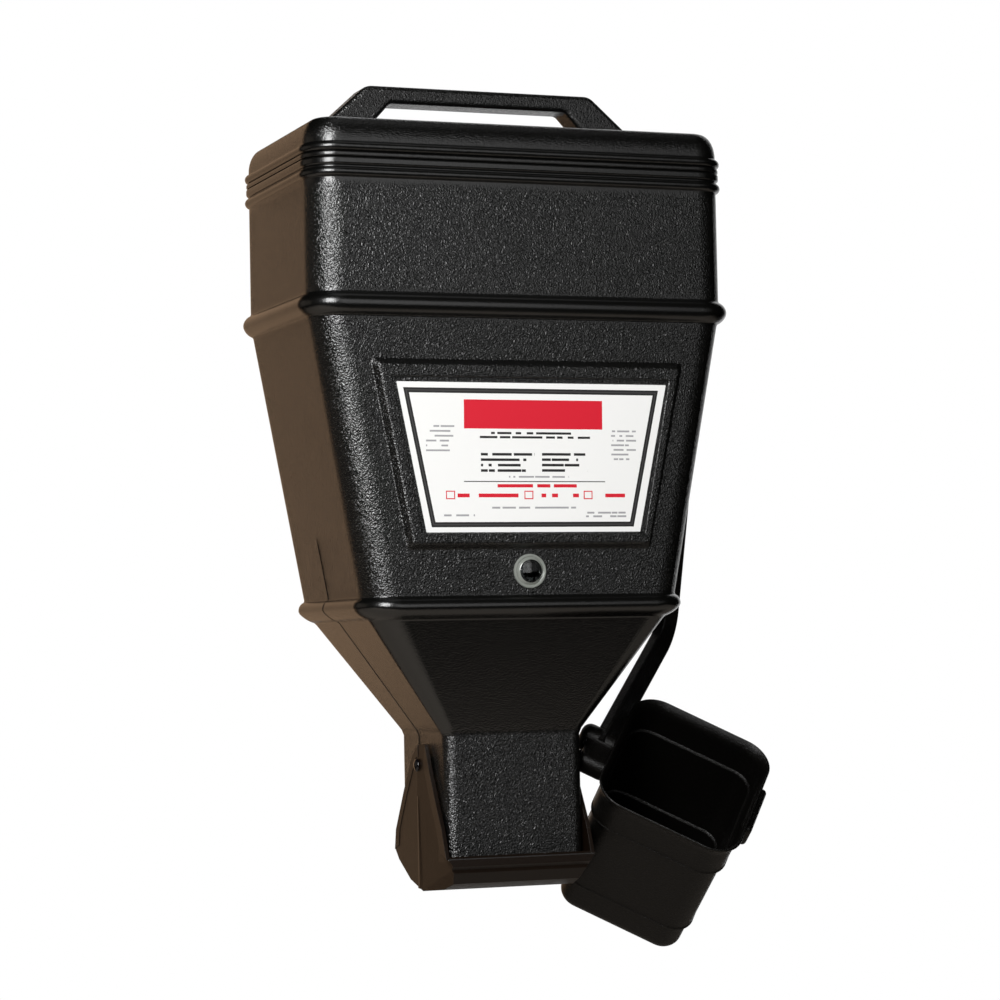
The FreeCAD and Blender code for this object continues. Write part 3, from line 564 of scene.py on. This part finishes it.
def clear_plastic(name, colour, roughness, clear):
    """Polycarbonate: clear and glossy as it leaves the mould, or whitish and half clear as a
    painted highlight.
    """
    material, tree = finish_tree(name)
    surface = add(tree, "ShaderNodeBsdfPrincipled", {
        "Base Color": linear(colour), "Roughness": roughness, "IOR": 1.58,
        "Transmission Weight": clear,
    })
    add(tree, "ShaderNodeOutputMaterial", {"Surface": (surface, "BSDF")})
    return material


painted(lens, clear_plastic("polycarbonate_polished", "#e8ecec", 0.04, 1.0))
# The flange's whitish, half clear finish is a painted highlight.
lens.data.materials.append(clear_plastic("polycarbonate_flange_painted_highlight", "#b9beb6", 0.16, 0.55))
for face in lens.data.polygons:
    middle = face.center / MM - window_spot
    rise_out = middle.dot(front_out)
    from_axis = (middle - front_out * rise_out).length
    face.material_index = int(from_axis > PAINTED_RING_FROM and rise_out > PAINTED_RING_ABOVE)
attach(lens, "bin")
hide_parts("window_lens")
painted(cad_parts["window_ring"], bin_plastic)


# Lid
# A separate moulding in the same black plastic. Its skirt stands on the hopper's rim, a
# collar under it drops inside the mouth, and a trapezoid grip crosses its middle.
LID_FOOT, LID_TOP, LID_ROUND_TALL, LID_ROUND_DEEP = 123.3, 158.6, 21.0, 13.0
LID_BEAD_RISE, LID_BEAD = 8.6, (3.5, 8.0, 0.6)
COLLAR_FOOT = LID_FOOT - 14.0
GRIP_FOOT, GRIP_TOP, GRIP_BAR, GRIP_BACK, GRIP_FRONT = 156.6, LID_TOP + 44.5, 15, -91.0, -121.0
GRIP_EDGE, GRIP_EDGE_STEPS = 4.0, 5


def lid_loop(level, grow):
    """Outline of the lid at one level, moved out by grow from the hopper's box."""
    half, front, back, corner = BODY
    corner = max(corner + grow, 2.0)
    around = outline(half + grow, front + grow, back - grow, corner, witness=None)
    return [(x, min(y, 0.0), level) for x, y in around]


lid_rows = [
    (LID_TOP - WALL, -10.0), (LID_TOP - WALL - 2, -8.0), (COLLAR_FOOT, -8.0), (COLLAR_FOOT, -5.3),
    (LID_FOOT, -5.0), (LID_FOOT, -4.2), (LID_FOOT, 0.8), (LID_FOOT + 0.3, 1.7),
    (LID_FOOT + 1.0, 2.2), (126.2, 2.2), (127.0, 1.9), (127.7, 0.6),
]
lid_rows += bulge(LID_FOOT + LID_BEAD_RISE, *LID_BEAD)[::-1][1:]
for step in range(13):
    turn = math.radians(7.5 * step)
    level = LID_TOP - LID_ROUND_TALL * (1 - math.sin(turn))
    lid_rows.append((level, -LID_ROUND_DEEP * (1 - math.cos(turn))))
lid_rows.append((LID_TOP, -LID_ROUND_DEEP - 6.0))
lid = shell("lid_moulding", [lid_loop(level, grow) for level, grow in lid_rows])

# Corners of the grip across and up, and their radii.
grip_spots = (
    (-161, GRIP_FOOT, 0), (-110, GRIP_TOP, 14), (101, GRIP_TOP, 14), (154, GRIP_FOOT, 0),
    (106, GRIP_FOOT, 0), (77, GRIP_TOP - GRIP_BAR, 7), (-88, GRIP_TOP - GRIP_BAR, 7),
    (-117, GRIP_FOOT, 0),
)
grip_outline = rounded([(x, z) for x, z, _ in grip_spots], [radius for _, _, radius in grip_spots])
grip_loops = [[(x, y, z) for x, z in grip_outline] for y in (GRIP_BACK, GRIP_FRONT)]
grip = shell("lid_grip", grip_loops)


def softened(piece, radius, segments, angle):
    """The piece with its edges sharper than an angle rounded by a radius in mm."""
    bevel = piece.modifiers.new("Round", "BEVEL")
    bevel.width, bevel.segments = radius * MM, segments
    bevel.limit_method, bevel.angle_limit = "ANGLE", math.radians(angle)
    return settled(piece)


lid = weighted(joined([lid, softened(grip, GRIP_EDGE, GRIP_EDGE_STEPS, 50)]))
# The same satin polyethylene, smoother round the bead and the upper edge of the lid.
lid_plastic = moulded_black(
    "polyethylene_leather_grain_lid", "#080807", 0.25, 2.5, 0.56, 0.72,
    ((100, 0.2), (136, 0.2), (143, 0.6), (156, 0.7), (162, 0.8)),
)
painted(lid, lid_plastic)
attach(lid, "lid")
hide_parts("lid")


# Gate
# A smooth black cradle under the spout: two side plates with raised strips, joined by a
# folded floor with a lip. It swings on two pins.
PLATE_FACE, STRIP_KEEP = 68.1, 0.4
CORNER_FROM, CORNER_SPOT, CORNER_OUT, CORNER_CUT = 60.0, (0, -172.0, -469.5), (0, -30.5, -62.3), 0.7
GATE_EDGE = 0.5
LIP_START = (-67.5, -173.95, -469.7)
lip_rows = ((0.1, 0), (0.6, 0.1), (1.0, 0.8), (1.0, 134.2), (0.6, 134.9), (0.1, 135))
gate_mesh = bmesh.new()
gate_mesh.from_mesh(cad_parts["gate"].data)
bmesh.ops.remove_doubles(gate_mesh, verts=gate_mesh.verts, dist=1e-5)
bmesh.ops.dissolve_limit(
    gate_mesh, angle_limit=math.radians(1.0), verts=gate_mesh.verts, edges=gate_mesh.edges,
)
cut_from, cut_out = Vector(CORNER_SPOT), Vector(CORNER_OUT).normalized()
for corner in gate_mesh.verts:
    side = -1 if corner.co.x < 0 else 1
    reach = abs(corner.co.x) / MM
    if reach > PLATE_FACE:
        reach = PLATE_FACE + (reach - PLATE_FACE) * STRIP_KEEP
    if reach > CORNER_FROM:
        reach -= CORNER_CUT * max(0.0, (corner.co / MM - cut_from).dot(cut_out))
    corner.co.x = side * reach * MM
gate = softened(made("gate_cradle", gate_mesh, sharp=30), GATE_EDGE, 2, 20)
lip_first = len(gate.data.polygons)
gate = weighted(joined([gate, turned("lip_bead", lip_rows, LIP_START, ALONG_X, steps=16)]))
# Smooth black polyethylene with little gloss. Its brownish tone is a painted warm reflection,
# and the lip bead's lighter grey is a painted highlight along the edge.
painted(gate, moulded_black("polyethylene_smooth_moulded", "#150d07", 0.36, 2.0, 0.10, 0.2))
# The lip bead is lighter grey, a painted highlight along the gate's edge, and glossier.
gate.data.materials.append(
    moulded_black("polyethylene_lip_painted_highlight", "#2c2b2a", 0.22, 1.6, 0.10, 0.9)
)
for face in gate.data.polygons[lip_first:]:
    face.material_index = 1
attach(gate, "gate")
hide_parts("gate")


# Gate pins, washers and retainers
# Two black nylon pins with domed heads carry the gate. On each, a white nylon washer runs
# between gate and spout, and a spring steel retainer is pushed on inside the spout.
two_places = bpy.data.node_groups.new("two_places", "GeometryNodeTree")
for label, kind in (
    ("Geometry", "Geometry"), ("First spot", "Vector"), ("Second spot", "Vector"),
    ("Second turn", "Float"), ("Finish", "Material"),
):
    two_places.interface.new_socket(label, in_out="INPUT", socket_type="NodeSocket" + kind)
two_places.interface.new_socket("Geometry", in_out="OUTPUT", socket_type="NodeSocketGeometry")
inlet = add(two_places, "NodeGroupInput", {})
spots = add(two_places, "GeometryNodeMeshLine", {
    "mode": "END_POINTS", "Count": 2,
    "Start Location": (inlet, "First spot"), "Offset": (inlet, "Second spot"),
})
which = add(two_places, "GeometryNodeInputIndex", {})
angle = add(two_places, "ShaderNodeMath", {
    "operation": "MULTIPLY", 0: (which, "Index"), 1: (inlet, "Second turn"),
})
upright_turn = add(two_places, "ShaderNodeCombineXYZ", {"Z": (angle, "Value")})
placed = add(two_places, "GeometryNodeInstanceOnPoints", {
    "Points": (spots, "Mesh"), "Instance": (inlet, "Geometry"),
    "Rotation": (upright_turn, "Vector"),
})
real = add(two_places, "GeometryNodeRealizeInstances", {"Geometry": (placed, "Instances")})
finished = add(two_places, "GeometryNodeSetMaterial", {
    "Geometry": (real, "Geometry"), "Material": (inlet, "Finish"),
})
add(two_places, "NodeGroupOutput", {"Geometry": (finished, "Geometry")})


def repeated(piece, first, second, turn, finish):
    """The piece at two places, in mm, as one plain mesh. It is made round the origin."""
    builder = piece.modifiers.new("Two places", "NODES")
    builder.node_group = two_places
    values = {
        "First spot": [value * MM for value in first],
        "Second spot": [value * MM for value in second],
        "Second turn": turn, "Finish": finish,
    }
    for socket_at in two_places.interface.items_tree:
        if socket_at.in_out == "INPUT" and socket_at.name in values:
            builder[socket_at.identifier] = values[socket_at.name]
    return settled(piece)


def small_part(name, colour, roughness, wear, metal=False):
    """Nylon or steel of a small turned or pressed part: marks 0.6 mm wide in its gloss, and
    a little darker in places. A metal keeps the shader's own IOR."""
    material, tree = finish_tree(name)
    place = add(tree, "ShaderNodeTexCoord", {})
    marks = add(tree, "ShaderNodeTexNoise", {
        "Vector": (place, "Object"), "Scale": 1 / (0.6 * MM), "Detail": 3.0,
    })
    gloss = add(tree, "ShaderNodeMapRange", {
        "Value": (marks, "Fac"), "To Min": roughness - 0.06, "To Max": roughness + 0.08,
    })
    tone = add(tree, "ShaderNodeMix", {
        "data_type": "RGBA", "Factor": (marks, "Fac"), 6: linear(colour), 7: darker(colour, wear),
    })
    bump = add(tree, "ShaderNodeBump", {
        "Height": (marks, "Fac"), "Strength": 0.4, "Distance": 0.02 * MM,
    })
    surface = add(tree, "ShaderNodeBsdfPrincipled", {
        "Base Color": (tone, 2), "Roughness": (gloss, "Result"), "Normal": (bump, "Normal"),
        **({"Metallic": 1.0} if metal else {"IOR": 1.53}),
    })
    add(tree, "ShaderNodeOutputMaterial", {"Surface": (surface, "BSDF")})
    return material


def on_both_pins(name, profile, finish, ring=False):
    """A turned piece on the left gate pin, and turned about on the right one."""
    piece = turned(name, profile, (0, 0, 0), (-1, 0, 0), ring=ring)
    left, right = (-PLATE_FACE, PIVOT_Y, PIVOT_Z), (PLATE_FACE, PIVOT_Y, PIVOT_Z)
    return repeated(piece, left, right, math.pi, finish)


# Black nylon is glossy and smooth, white nylon is dull, and zinc on spring steel is bright.
pin_rows = (
    (0.2, -12.4), (2.3, -12.4), (2.9, -11.8), (2.9, 0.6), (5.3, 0.6), (5.6, 0.8), (5.6, 1.3),
    (5.2, 1.9), (4.3, 2.5), (3.0, 3.1), (1.6, 3.45), (0.2, 3.55),
)
pins = on_both_pins("gate_pins", pin_rows, small_part("nylon_turned_black", "#0b0b0e", 0.18, 0.3))
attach(pins, "bin")
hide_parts("gate_pin_left", "gate_pin_right")
washer_rows = ((3.1, -4.4), (7.2, -4.4), (7.5, -4.1), (7.5, -3.6), (7.2, -3.3), (3.1, -3.3))
white_nylon = small_part("nylon_punched_white", "#dcdad2", 0.4, 0.1)
washers = on_both_pins("gate_washers", washer_rows, white_nylon, ring=True)
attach(washers, "bin")
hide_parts("gate_washer_left", "gate_washer_right")
retainer_rows = (
    (3.0, -9.0), (4.6, -9.5), (6.8, -9.5), (7.2, -10.0), (7.5, -9.9), (7.5, -8.9), (7.1, -8.6),
    (4.6, -8.6), (3.0, -8.6),
)
steel_finish = small_part("spring_steel_pressed_zinc", "#b9bbbd", 0.3, 0.25, metal=True)
retainers = on_both_pins("gate_retainers", retainer_rows, steel_finish, ring=True)
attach(retainers, "bin")
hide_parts("gate_retainer_left", "gate_retainer_right")


# Hanging peg, washer and nut
# A turned steel peg, zinc plated, goes through the boss of the right wall. A washer and a
# hexagon nut hold it from inside, and its smooth outer end carries the scoop.
THREAD_START, THREAD_PITCH, THREAD_TURNS = -23.4, 1.1, 14
BOSS_DEPTH, NUT_FLAT, NUT_STEPS = 14.0, 6.5, 48
peg_rows = [(0.3, -24.0), (3.5, -24.0)]
for ridge in range(THREAD_TURNS):
    crest = THREAD_START + ridge * THREAD_PITCH
    peg_rows += [(3.98, crest), (3.6, crest + THREAD_PITCH / 2)]
peg_rows += [
    (4.0, -7.6), (4.0, 0.0), (8.6, 0.0), (9.0, 0.4), (9.0, 2.1), (8.6, 2.5), (4.3, 2.5),
    (4.0, 2.8), (4.0, 17.6), (3.7, 18.4), (3.0, 19.0), (1.8, 19.4), (0.3, 19.5),
]
peg = turned("hanging_peg_turned", peg_rows, PEG_SPOT, ALONG_X)
painted(peg, small_part("steel_turned_zinc_plated", "#c3c5c6", 0.25, 0.2, metal=True))
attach(peg, "bin")
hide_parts("hanging_peg")
inside_wall = PEG_SPOT - Vector((BOSS_DEPTH, 0, 0))
flat_rows = ((4.1, -1.6), (9.6, -1.6), (10.0, -1.3), (10.0, -0.3), (9.6, 0.0), (4.1, 0.0))
peg_washer = turned("peg_washer_flat", flat_rows, inside_wall, ALONG_X, ring=True)
painted(peg_washer, steel_finish)
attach(peg_washer, "bin")
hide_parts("peg_washer")


def nut_loop(height, share):
    """Outline of the nut: a share of the hexagon with its corners turned down, or its bore."""
    loop = []
    for step in range(NUT_STEPS):
        turn = math.tau * step / NUT_STEPS
        hexagon = NUT_FLAT / math.cos((turn + math.pi / 6) % (math.pi / 3) - math.pi / 6)
        reach = min(hexagon, NUT_FLAT * 1.155) * share if share else PEG_HOLE
        spoke = Vector((height, reach * math.cos(turn), reach * math.sin(turn)))
        loop.append(inside_wall + spoke)
    return loop


nut_rows = ((-8.1, 0), (-8.1, 0.9), (-7.5, 1.0), (-2.2, 1.0), (-1.6, 0.9), (-1.6, 0))
peg_nut = shell("peg_nut_hexagon", [nut_loop(*row) for row in nut_rows], ring=True)
painted(peg_nut, steel_finish)
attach(peg_nut, "bin")
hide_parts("peg_nut")


# Scoop cup
# A thin-walled black cup in three tiers, turned and tilted beside the gate. A solid socket
# at its left takes the handle, and a pad stands on its right wall.
CUP_HALF, CUP_LONG, CUP_ROUND, CUP_WALL = 63.5, 70.5, 24.0, 2.6
CUP_SPOT, CUP_TURNS = (158.3, -169.6, -403.3), (("Z", -24.05), ("Y", 26.45), ("X", 40.44))
FLOOR_FROM, FLOOR_ROUND, FLOOR_INSET = 139.0, 12.0, -5.2
cup_place = Matrix.Translation(Vector(CUP_SPOT) * MM)
for axis, angle in CUP_TURNS:
    cup_place @= Matrix.Rotation(math.radians(angle), 4, axis)


def cup_loop(depth, grow):
    """Outline of the cup at a depth below its rim, moved out by grow."""
    half, long, corner = CUP_HALF + grow, CUP_LONG + grow, max(CUP_ROUND + grow, 2.0)
    return [(x, y, -depth) for x, y in outline(half, long, -long, corner, witness=None)]


def floor_round(radius):
    """Depths and reaches of the cup's rounded foot, from the wall to the floor."""
    rows = []
    for step in range(8):
        turn = math.radians(90 * step / 7)
        depth = FLOOR_FROM + radius * math.sin(turn)
        rows.append((depth, FLOOR_INSET - FLOOR_ROUND + radius * math.cos(turn)))
    return rows


# Depth and reach down the outside: the flared rim, then a small lip above each step.
cup_outside = [
    (0.3, 3.4), (0.8, 3.9), (1.8, 4.0), (3.0, 3.2), (5.0, 1.7), (8.0, 0.6), (12.0, 0.0),
    (33.8, 0.0), (34.4, 0.5), (35.2, 0.8), (36.0, 0.6), (36.5, -0.2), (36.9, -1.4), (37.3, -2.3),
    (38.2, -2.6), (113.8, -2.6), (114.4, -2.1), (115.2, -1.8), (116.0, -2.0), (116.5, -2.8),
    (116.9, -4.0), (117.3, -4.9), (118.2, -5.2),
]
# And up the inside, from the floor to the rim.
cup_inside = [
    (115.6, -7.8), (114.8, -7.5), (114.3, -6.0), (113.6, -5.3), (113.0, -5.2),
    (35.6, -5.2), (34.8, -4.9), (34.3, -3.4), (33.6, -2.7), (33.0, -2.6),
    (12.0, -2.6), (7.6, -1.9), (4.4, -0.7), (2.0, 0.9), (0.6, 2.2), (0.1, 3.0),
]
cup_rows = [(148.4, -17.2)] + floor_round(FLOOR_ROUND - CUP_WALL)[::-1] + cup_inside
cup_rows += cup_outside + floor_round(FLOOR_ROUND)
cup = shell("cup_shell", [cup_loop(depth, grow) for depth, grow in cup_rows])


def rounded_block(name, low, high, radius):
    """Block with rounded edges between two corners in the cup's own frame."""
    corners = ((low[0], low[1]), (high[0], low[1]), (high[0], high[1]), (low[0], high[1]))
    block = shell(name, [[(x, y, z) for x, y in corners] for z in (low[2], high[2])])
    soft = block.modifiers.new("Round", "BEVEL")
    soft.width, soft.segments = radius * MM, 5
    return settled(block)


socket = rounded_block("handle_socket", (-91.5, -29, -30.5), (-61.5, 2, -10.5), 7.0)
collar = rounded_block("handle_collar", (-99.5, -5, -30.0), (-61.5, 15, -3.5), 8.5)
pad = rounded_block("side_pad", (61.5, -29, -24.5), (72.5, 29, -2.5), 4.0)
for block in (cup, socket, collar, pad):
    block.data.transform(cup_place)
cup = weighted(joined([cup, socket, collar, pad]))
# Satin polypropylene: almost black, with a fine grain and a soft sheen.
painted(cup, moulded_black("polypropylene_satin_moulded", "#060504", 0.36, 1.8, 0.36, 0.2))
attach(cup, "scoop")
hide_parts("scoop_cup")


# Scoop handle
# A flat bar with rounded edges, set in the cup's socket. It bends once and ends in a round
# eye that hangs on the peg.
SEAT, BEND_INWARD, BEND_Y, BEND_Z = Vector((92.1, -134.0, -381.7)), 6.0, -65.5, -278.0
BEND_RADIUS, BEND_STEPS = 34.0, 12
BAR_HALF, BAR_ROUND, BAR_ROLL = (10.5, 5.5), 2, math.radians(15)
UPPER_SHARES, UPPER_HALVES = (0.5, 0.8, 1.0), ((9.5, 5.6), (8.0, 5.9), (7.0, 6.2))
EYE_OUT, EYE_BORE = 11.5, 4.3
eye = PEG_SPOT + Vector((EYE_OUT, 0, 0))
bend = Vector((eye.x - BEND_INWARD, BEND_Y, BEND_Z))
lower, upper = bend - SEAT, eye - bend
along = lower.normalized()
flat = along.cross(upper).normalized()
turn_angle = lower.angle(upper)
bend_start = bend - along * (BEND_RADIUS * math.tan(turn_angle / 2))
bend_centre = bend_start + flat.cross(along) * BEND_RADIUS
stations = [(SEAT + along * 3.0, along)]
for step in range(BEND_STEPS + 1):
    swing = Matrix.Rotation(turn_angle * step / BEND_STEPS, 3, flat)
    stations.append((bend_centre + swing @ (bend_start - bend_centre), swing @ along))
stations += [(bend.lerp(eye, share), upper.normalized()) for share in UPPER_SHARES]
bar_sizes = [BAR_HALF] * (BEND_STEPS + 2) + list(UPPER_HALVES)
bar_loops = []
for (spot_at, ahead), (wide, thick) in zip(stations, bar_sizes):
    corners = ((-wide, -thick), (wide, -thick), (wide, thick), (-wide, thick))
    section = rounded(corners, [BAR_ROUND] * 4, steps=4)
    broad = flat.cross(ahead) * math.cos(BAR_ROLL) - flat * math.sin(BAR_ROLL)
    narrow = broad.cross(ahead)
    bar_loops.append([spot_at + broad * point[0] + narrow * point[1] for point in section])
bar = shell("handle_bar", bar_loops)
eye_rows = (
    (EYE_BORE, -6.7), (5.1, -7.5), (10.6, -7.5), (11.6, -7.1), (12.0, -6.1),
    (12.0, 6.1), (11.6, 7.1), (10.6, 7.5), (5.1, 7.5), (EYE_BORE, 6.7),
)
handle_eye = turned("handle_eye", eye_rows, eye, ALONG_X, ring=True)
handle = joined([bar, handle_eye])
handle = weighted(drilled(handle, [drill(EYE_BORE, eye, ALONG_X)]))
# Polypropylene with the grain of a sand-blasted mould, which the light picks out.
painted(handle, moulded_black("polypropylene_grained_bar", "#0a0908", 0.32, 2.2, 0.50, 0.4))
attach(handle, "scoop")
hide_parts("scoop_handle")


# Handle screws
# Two pan-head screws of blackened steel with a cross recess. They go through the socket's
# wall into the bar, and the collar covers the upper one.
SCREW_SPOTS = ((-76.0, -18.32, -16.19), (-76.0, -2.53, -13.69))
RECESS_HALF_LONG, RECESS_HALF_WIDE, RECESS_ENDS = 2.4, 0.35, (-16.6, -19.0)
screw_rows = (
    (0.2, 0.0), (1.2, 0.5), (2.0, 1.4), (2.0, 15.5), (3.7, 15.5), (4.0, 15.8), (3.9, 16.4),
    (3.2, 17.2), (2.2, 17.65), (0.2, 17.8),
)
screw = turned("handle_screws", screw_rows, (0, 0, 0), (-1, 0, 0), steps=32)
slots = []
for y, z in ((RECESS_HALF_LONG, RECESS_HALF_WIDE), (RECESS_HALF_WIDE, RECESS_HALF_LONG)):
    corners = ((-y, -z), (y, -z), (y, z), (-y, z))
    slots.append(shell("hole", [[(depth, *corner) for corner in corners] for depth in RECESS_ENDS]))
# Black oxide on steel: dark, half matt, and worn bright in places.
black_steel = small_part("steel_black_oxide", "#3a3a3e", 0.35, 0.4, metal=True)
screw = repeated(drilled(screw, slots), *SCREW_SPOTS, 0.0, black_steel)
screw.data.transform(cup_place)
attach(screw, "scoop")
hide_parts("handle_screw_front", "handle_screw_back")


# Floor, room, light and camera
# A plain pale floor below the bin, white all round to the camera, and the dim studio room
# behind the camera. One broad softbox stands at the left front and a weak panel before the
# bin. Weaker ones stand at the right front, at the left and above, and a warm one at the
# left rear, which the glossy side of the bin mirrors.
FLOOR_CENTRE, FLOOR_HALF = (0, 0.1, -1.1), (1.7, 1.0, 1, 1)
ROOM_CENTRE, ROOM_SIZE = (0, -1.9, 1.2), (10, 10.2, 6.0, 1)
BOARD_LEFT, BOARD_RIGHT, BOARD_FOOT, BOARD_TOP = -5, 0.6, -1.8, 4.2
FILL, SEEN_WHITE = 0.2, 1.0


def plain_paint(name, colour):
    """Matt wall paint, which gives back light and no reflections."""
    material, tree = finish_tree(name)
    surface = add(tree, "ShaderNodeBsdfDiffuse", {"Color": linear(colour)})
    add(tree, "ShaderNodeOutputMaterial", {"Surface": (surface, "BSDF")})
    return material


stage_mesh = bmesh.new()
floor_place = Matrix.Translation(FLOOR_CENTRE) @ Matrix.Diagonal(FLOOR_HALF)
bmesh.ops.create_grid(stage_mesh, x_segments=1, y_segments=1, size=1.0, matrix=floor_place)
floor = painted(made("floor", stage_mesh), plain_paint("pale_floor_paint", "#d3cabf"))
stage_mesh = bmesh.new()
room_place = Matrix.Translation(ROOM_CENTRE) @ Matrix.Diagonal(ROOM_SIZE)
bmesh.ops.create_cube(stage_mesh, size=1.0, matrix=room_place)
rear = max(stage_mesh.faces, key=lambda face: face.calc_center_median().y)
rear_y = rear.calc_center_median().y
stage_mesh.faces.remove(rear)
board = []
for x, z in (
    (BOARD_LEFT, BOARD_FOOT), (BOARD_RIGHT, BOARD_FOOT),
    (BOARD_RIGHT, BOARD_TOP), (BOARD_LEFT, BOARD_TOP),
):
    board.append(stage_mesh.verts.new((x, rear_y, z)))
stage_mesh.faces.new(board)
room = painted(made("room", stage_mesh), plain_paint("dim_room_paint", "#242424"))
room.visible_camera = False

world = bpy.data.worlds.new("white_surround")
world.use_nodes = True
tree = world.node_tree
tree.nodes.clear()
path = add(tree, "ShaderNodeLightPath", {})
seen = (path, "Is Camera Ray")
for kind_of_ray in ("Is Glossy Ray", "Is Transmission Ray"):
    either_ray = add(tree, "ShaderNodeMath", {
        "operation": "ADD", "use_clamp": True, 0: seen, 1: (path, kind_of_ray),
    })
    seen = (either_ray, "Value")
white = add(tree, "ShaderNodeMapRange", {"Value": seen, "To Min": FILL, "To Max": SEEN_WHITE})
shine = add(tree, "ShaderNodeBackground", {"Color": (1, 1, 1, 1), "Strength": (white, "Result")})
add(tree, "ShaderNodeOutputWorld", {"Surface": (shine, "Background")})
bpy.context.scene.world = world


def lamp(name, spot_at, target, size, radiance, colour="#ffffff"):
    """Soft rectangular lamp, its strength given as the brightness of its face."""
    data = bpy.data.lights.new(name, "AREA")
    data.shape, data.size, data.size_y = "RECTANGLE", size[0], size[1]
    data.energy, data.color = radiance * math.pi * size[0] * size[1], linear(colour)[:3]
    light = bpy.data.objects.new(name, data)
    bpy.context.collection.objects.link(light)
    light.location = spot_at
    aim = Vector(target) - Vector(spot_at)
    light.rotation_euler = aim.to_track_quat("-Z", "Y").to_euler()
    light.visible_camera = False


lamp("key_softbox", (-1.40, -2.09, 0.68), (-0.17, -0.19, 0.0), (1.05, 1.75), 13.9)
lamp("front_panel", (0.54, -4.04, 0.62), (0, -0.2, -0.1), (1.9, 2.7), 0.92)
lamp("right_panel", (2.2, -4.4, 0.75), (0, -0.2, 0.0), (3.6, 2.4), 0.15)
lamp("warm_rear_panel", (-0.5, 2.9, 0.05), (-0.19, -0.1, 0.1), (1.9, 3.0), 0.58, "#ffd3aa")
lamp("left_panel", (-3.4, 1.3, 0.2), (-0.19, -0.1, -0.1), (3.0, 2.6), 0.2, "#fff0e0")
lamp("top_panel", (0.2, -0.4, 2.4), (0, -0.1, 0), (1.6, 1.2), 0.3)

# The camera's place, turn and lens follow from the perspective of the photograph.
CAMERA_SPOT, FOCAL_PIXELS, IMAGE_PIXELS = (-924.5, -2540.78, -293.98), 2947.59, 1000
SENSOR_MM, SEE_TO = 36.0, 100
yaw, pitch, roll = math.radians(21.046), math.radians(2.956), math.radians(-1.156)
ahead = Vector((
    math.sin(yaw) * math.cos(pitch), math.cos(yaw) * math.cos(pitch), math.sin(pitch),
))
level_right = Vector((math.cos(yaw), -math.sin(yaw), 0))
level_up = level_right.cross(ahead)
right = level_right * math.cos(roll) + level_up * math.sin(roll)
upward = level_up * math.cos(roll) - level_right * math.sin(roll)
camera_data = bpy.data.cameras.new("camera")
camera_data.sensor_width = SENSOR_MM
camera_data.lens = FOCAL_PIXELS * SENSOR_MM / IMAGE_PIXELS
camera_data.clip_end = SEE_TO
camera = bpy.data.objects.new("camera", camera_data)
bpy.context.collection.objects.link(camera)
camera_turn = Matrix((right, upward, -ahead)).transposed().to_4x4()
camera.matrix_world = Matrix.Translation(Vector(CAMERA_SPOT) * MM) @ camera_turn
bpy.context.scene.camera = camera
bpy.context.scene.view_settings.view_transform = "Standard"
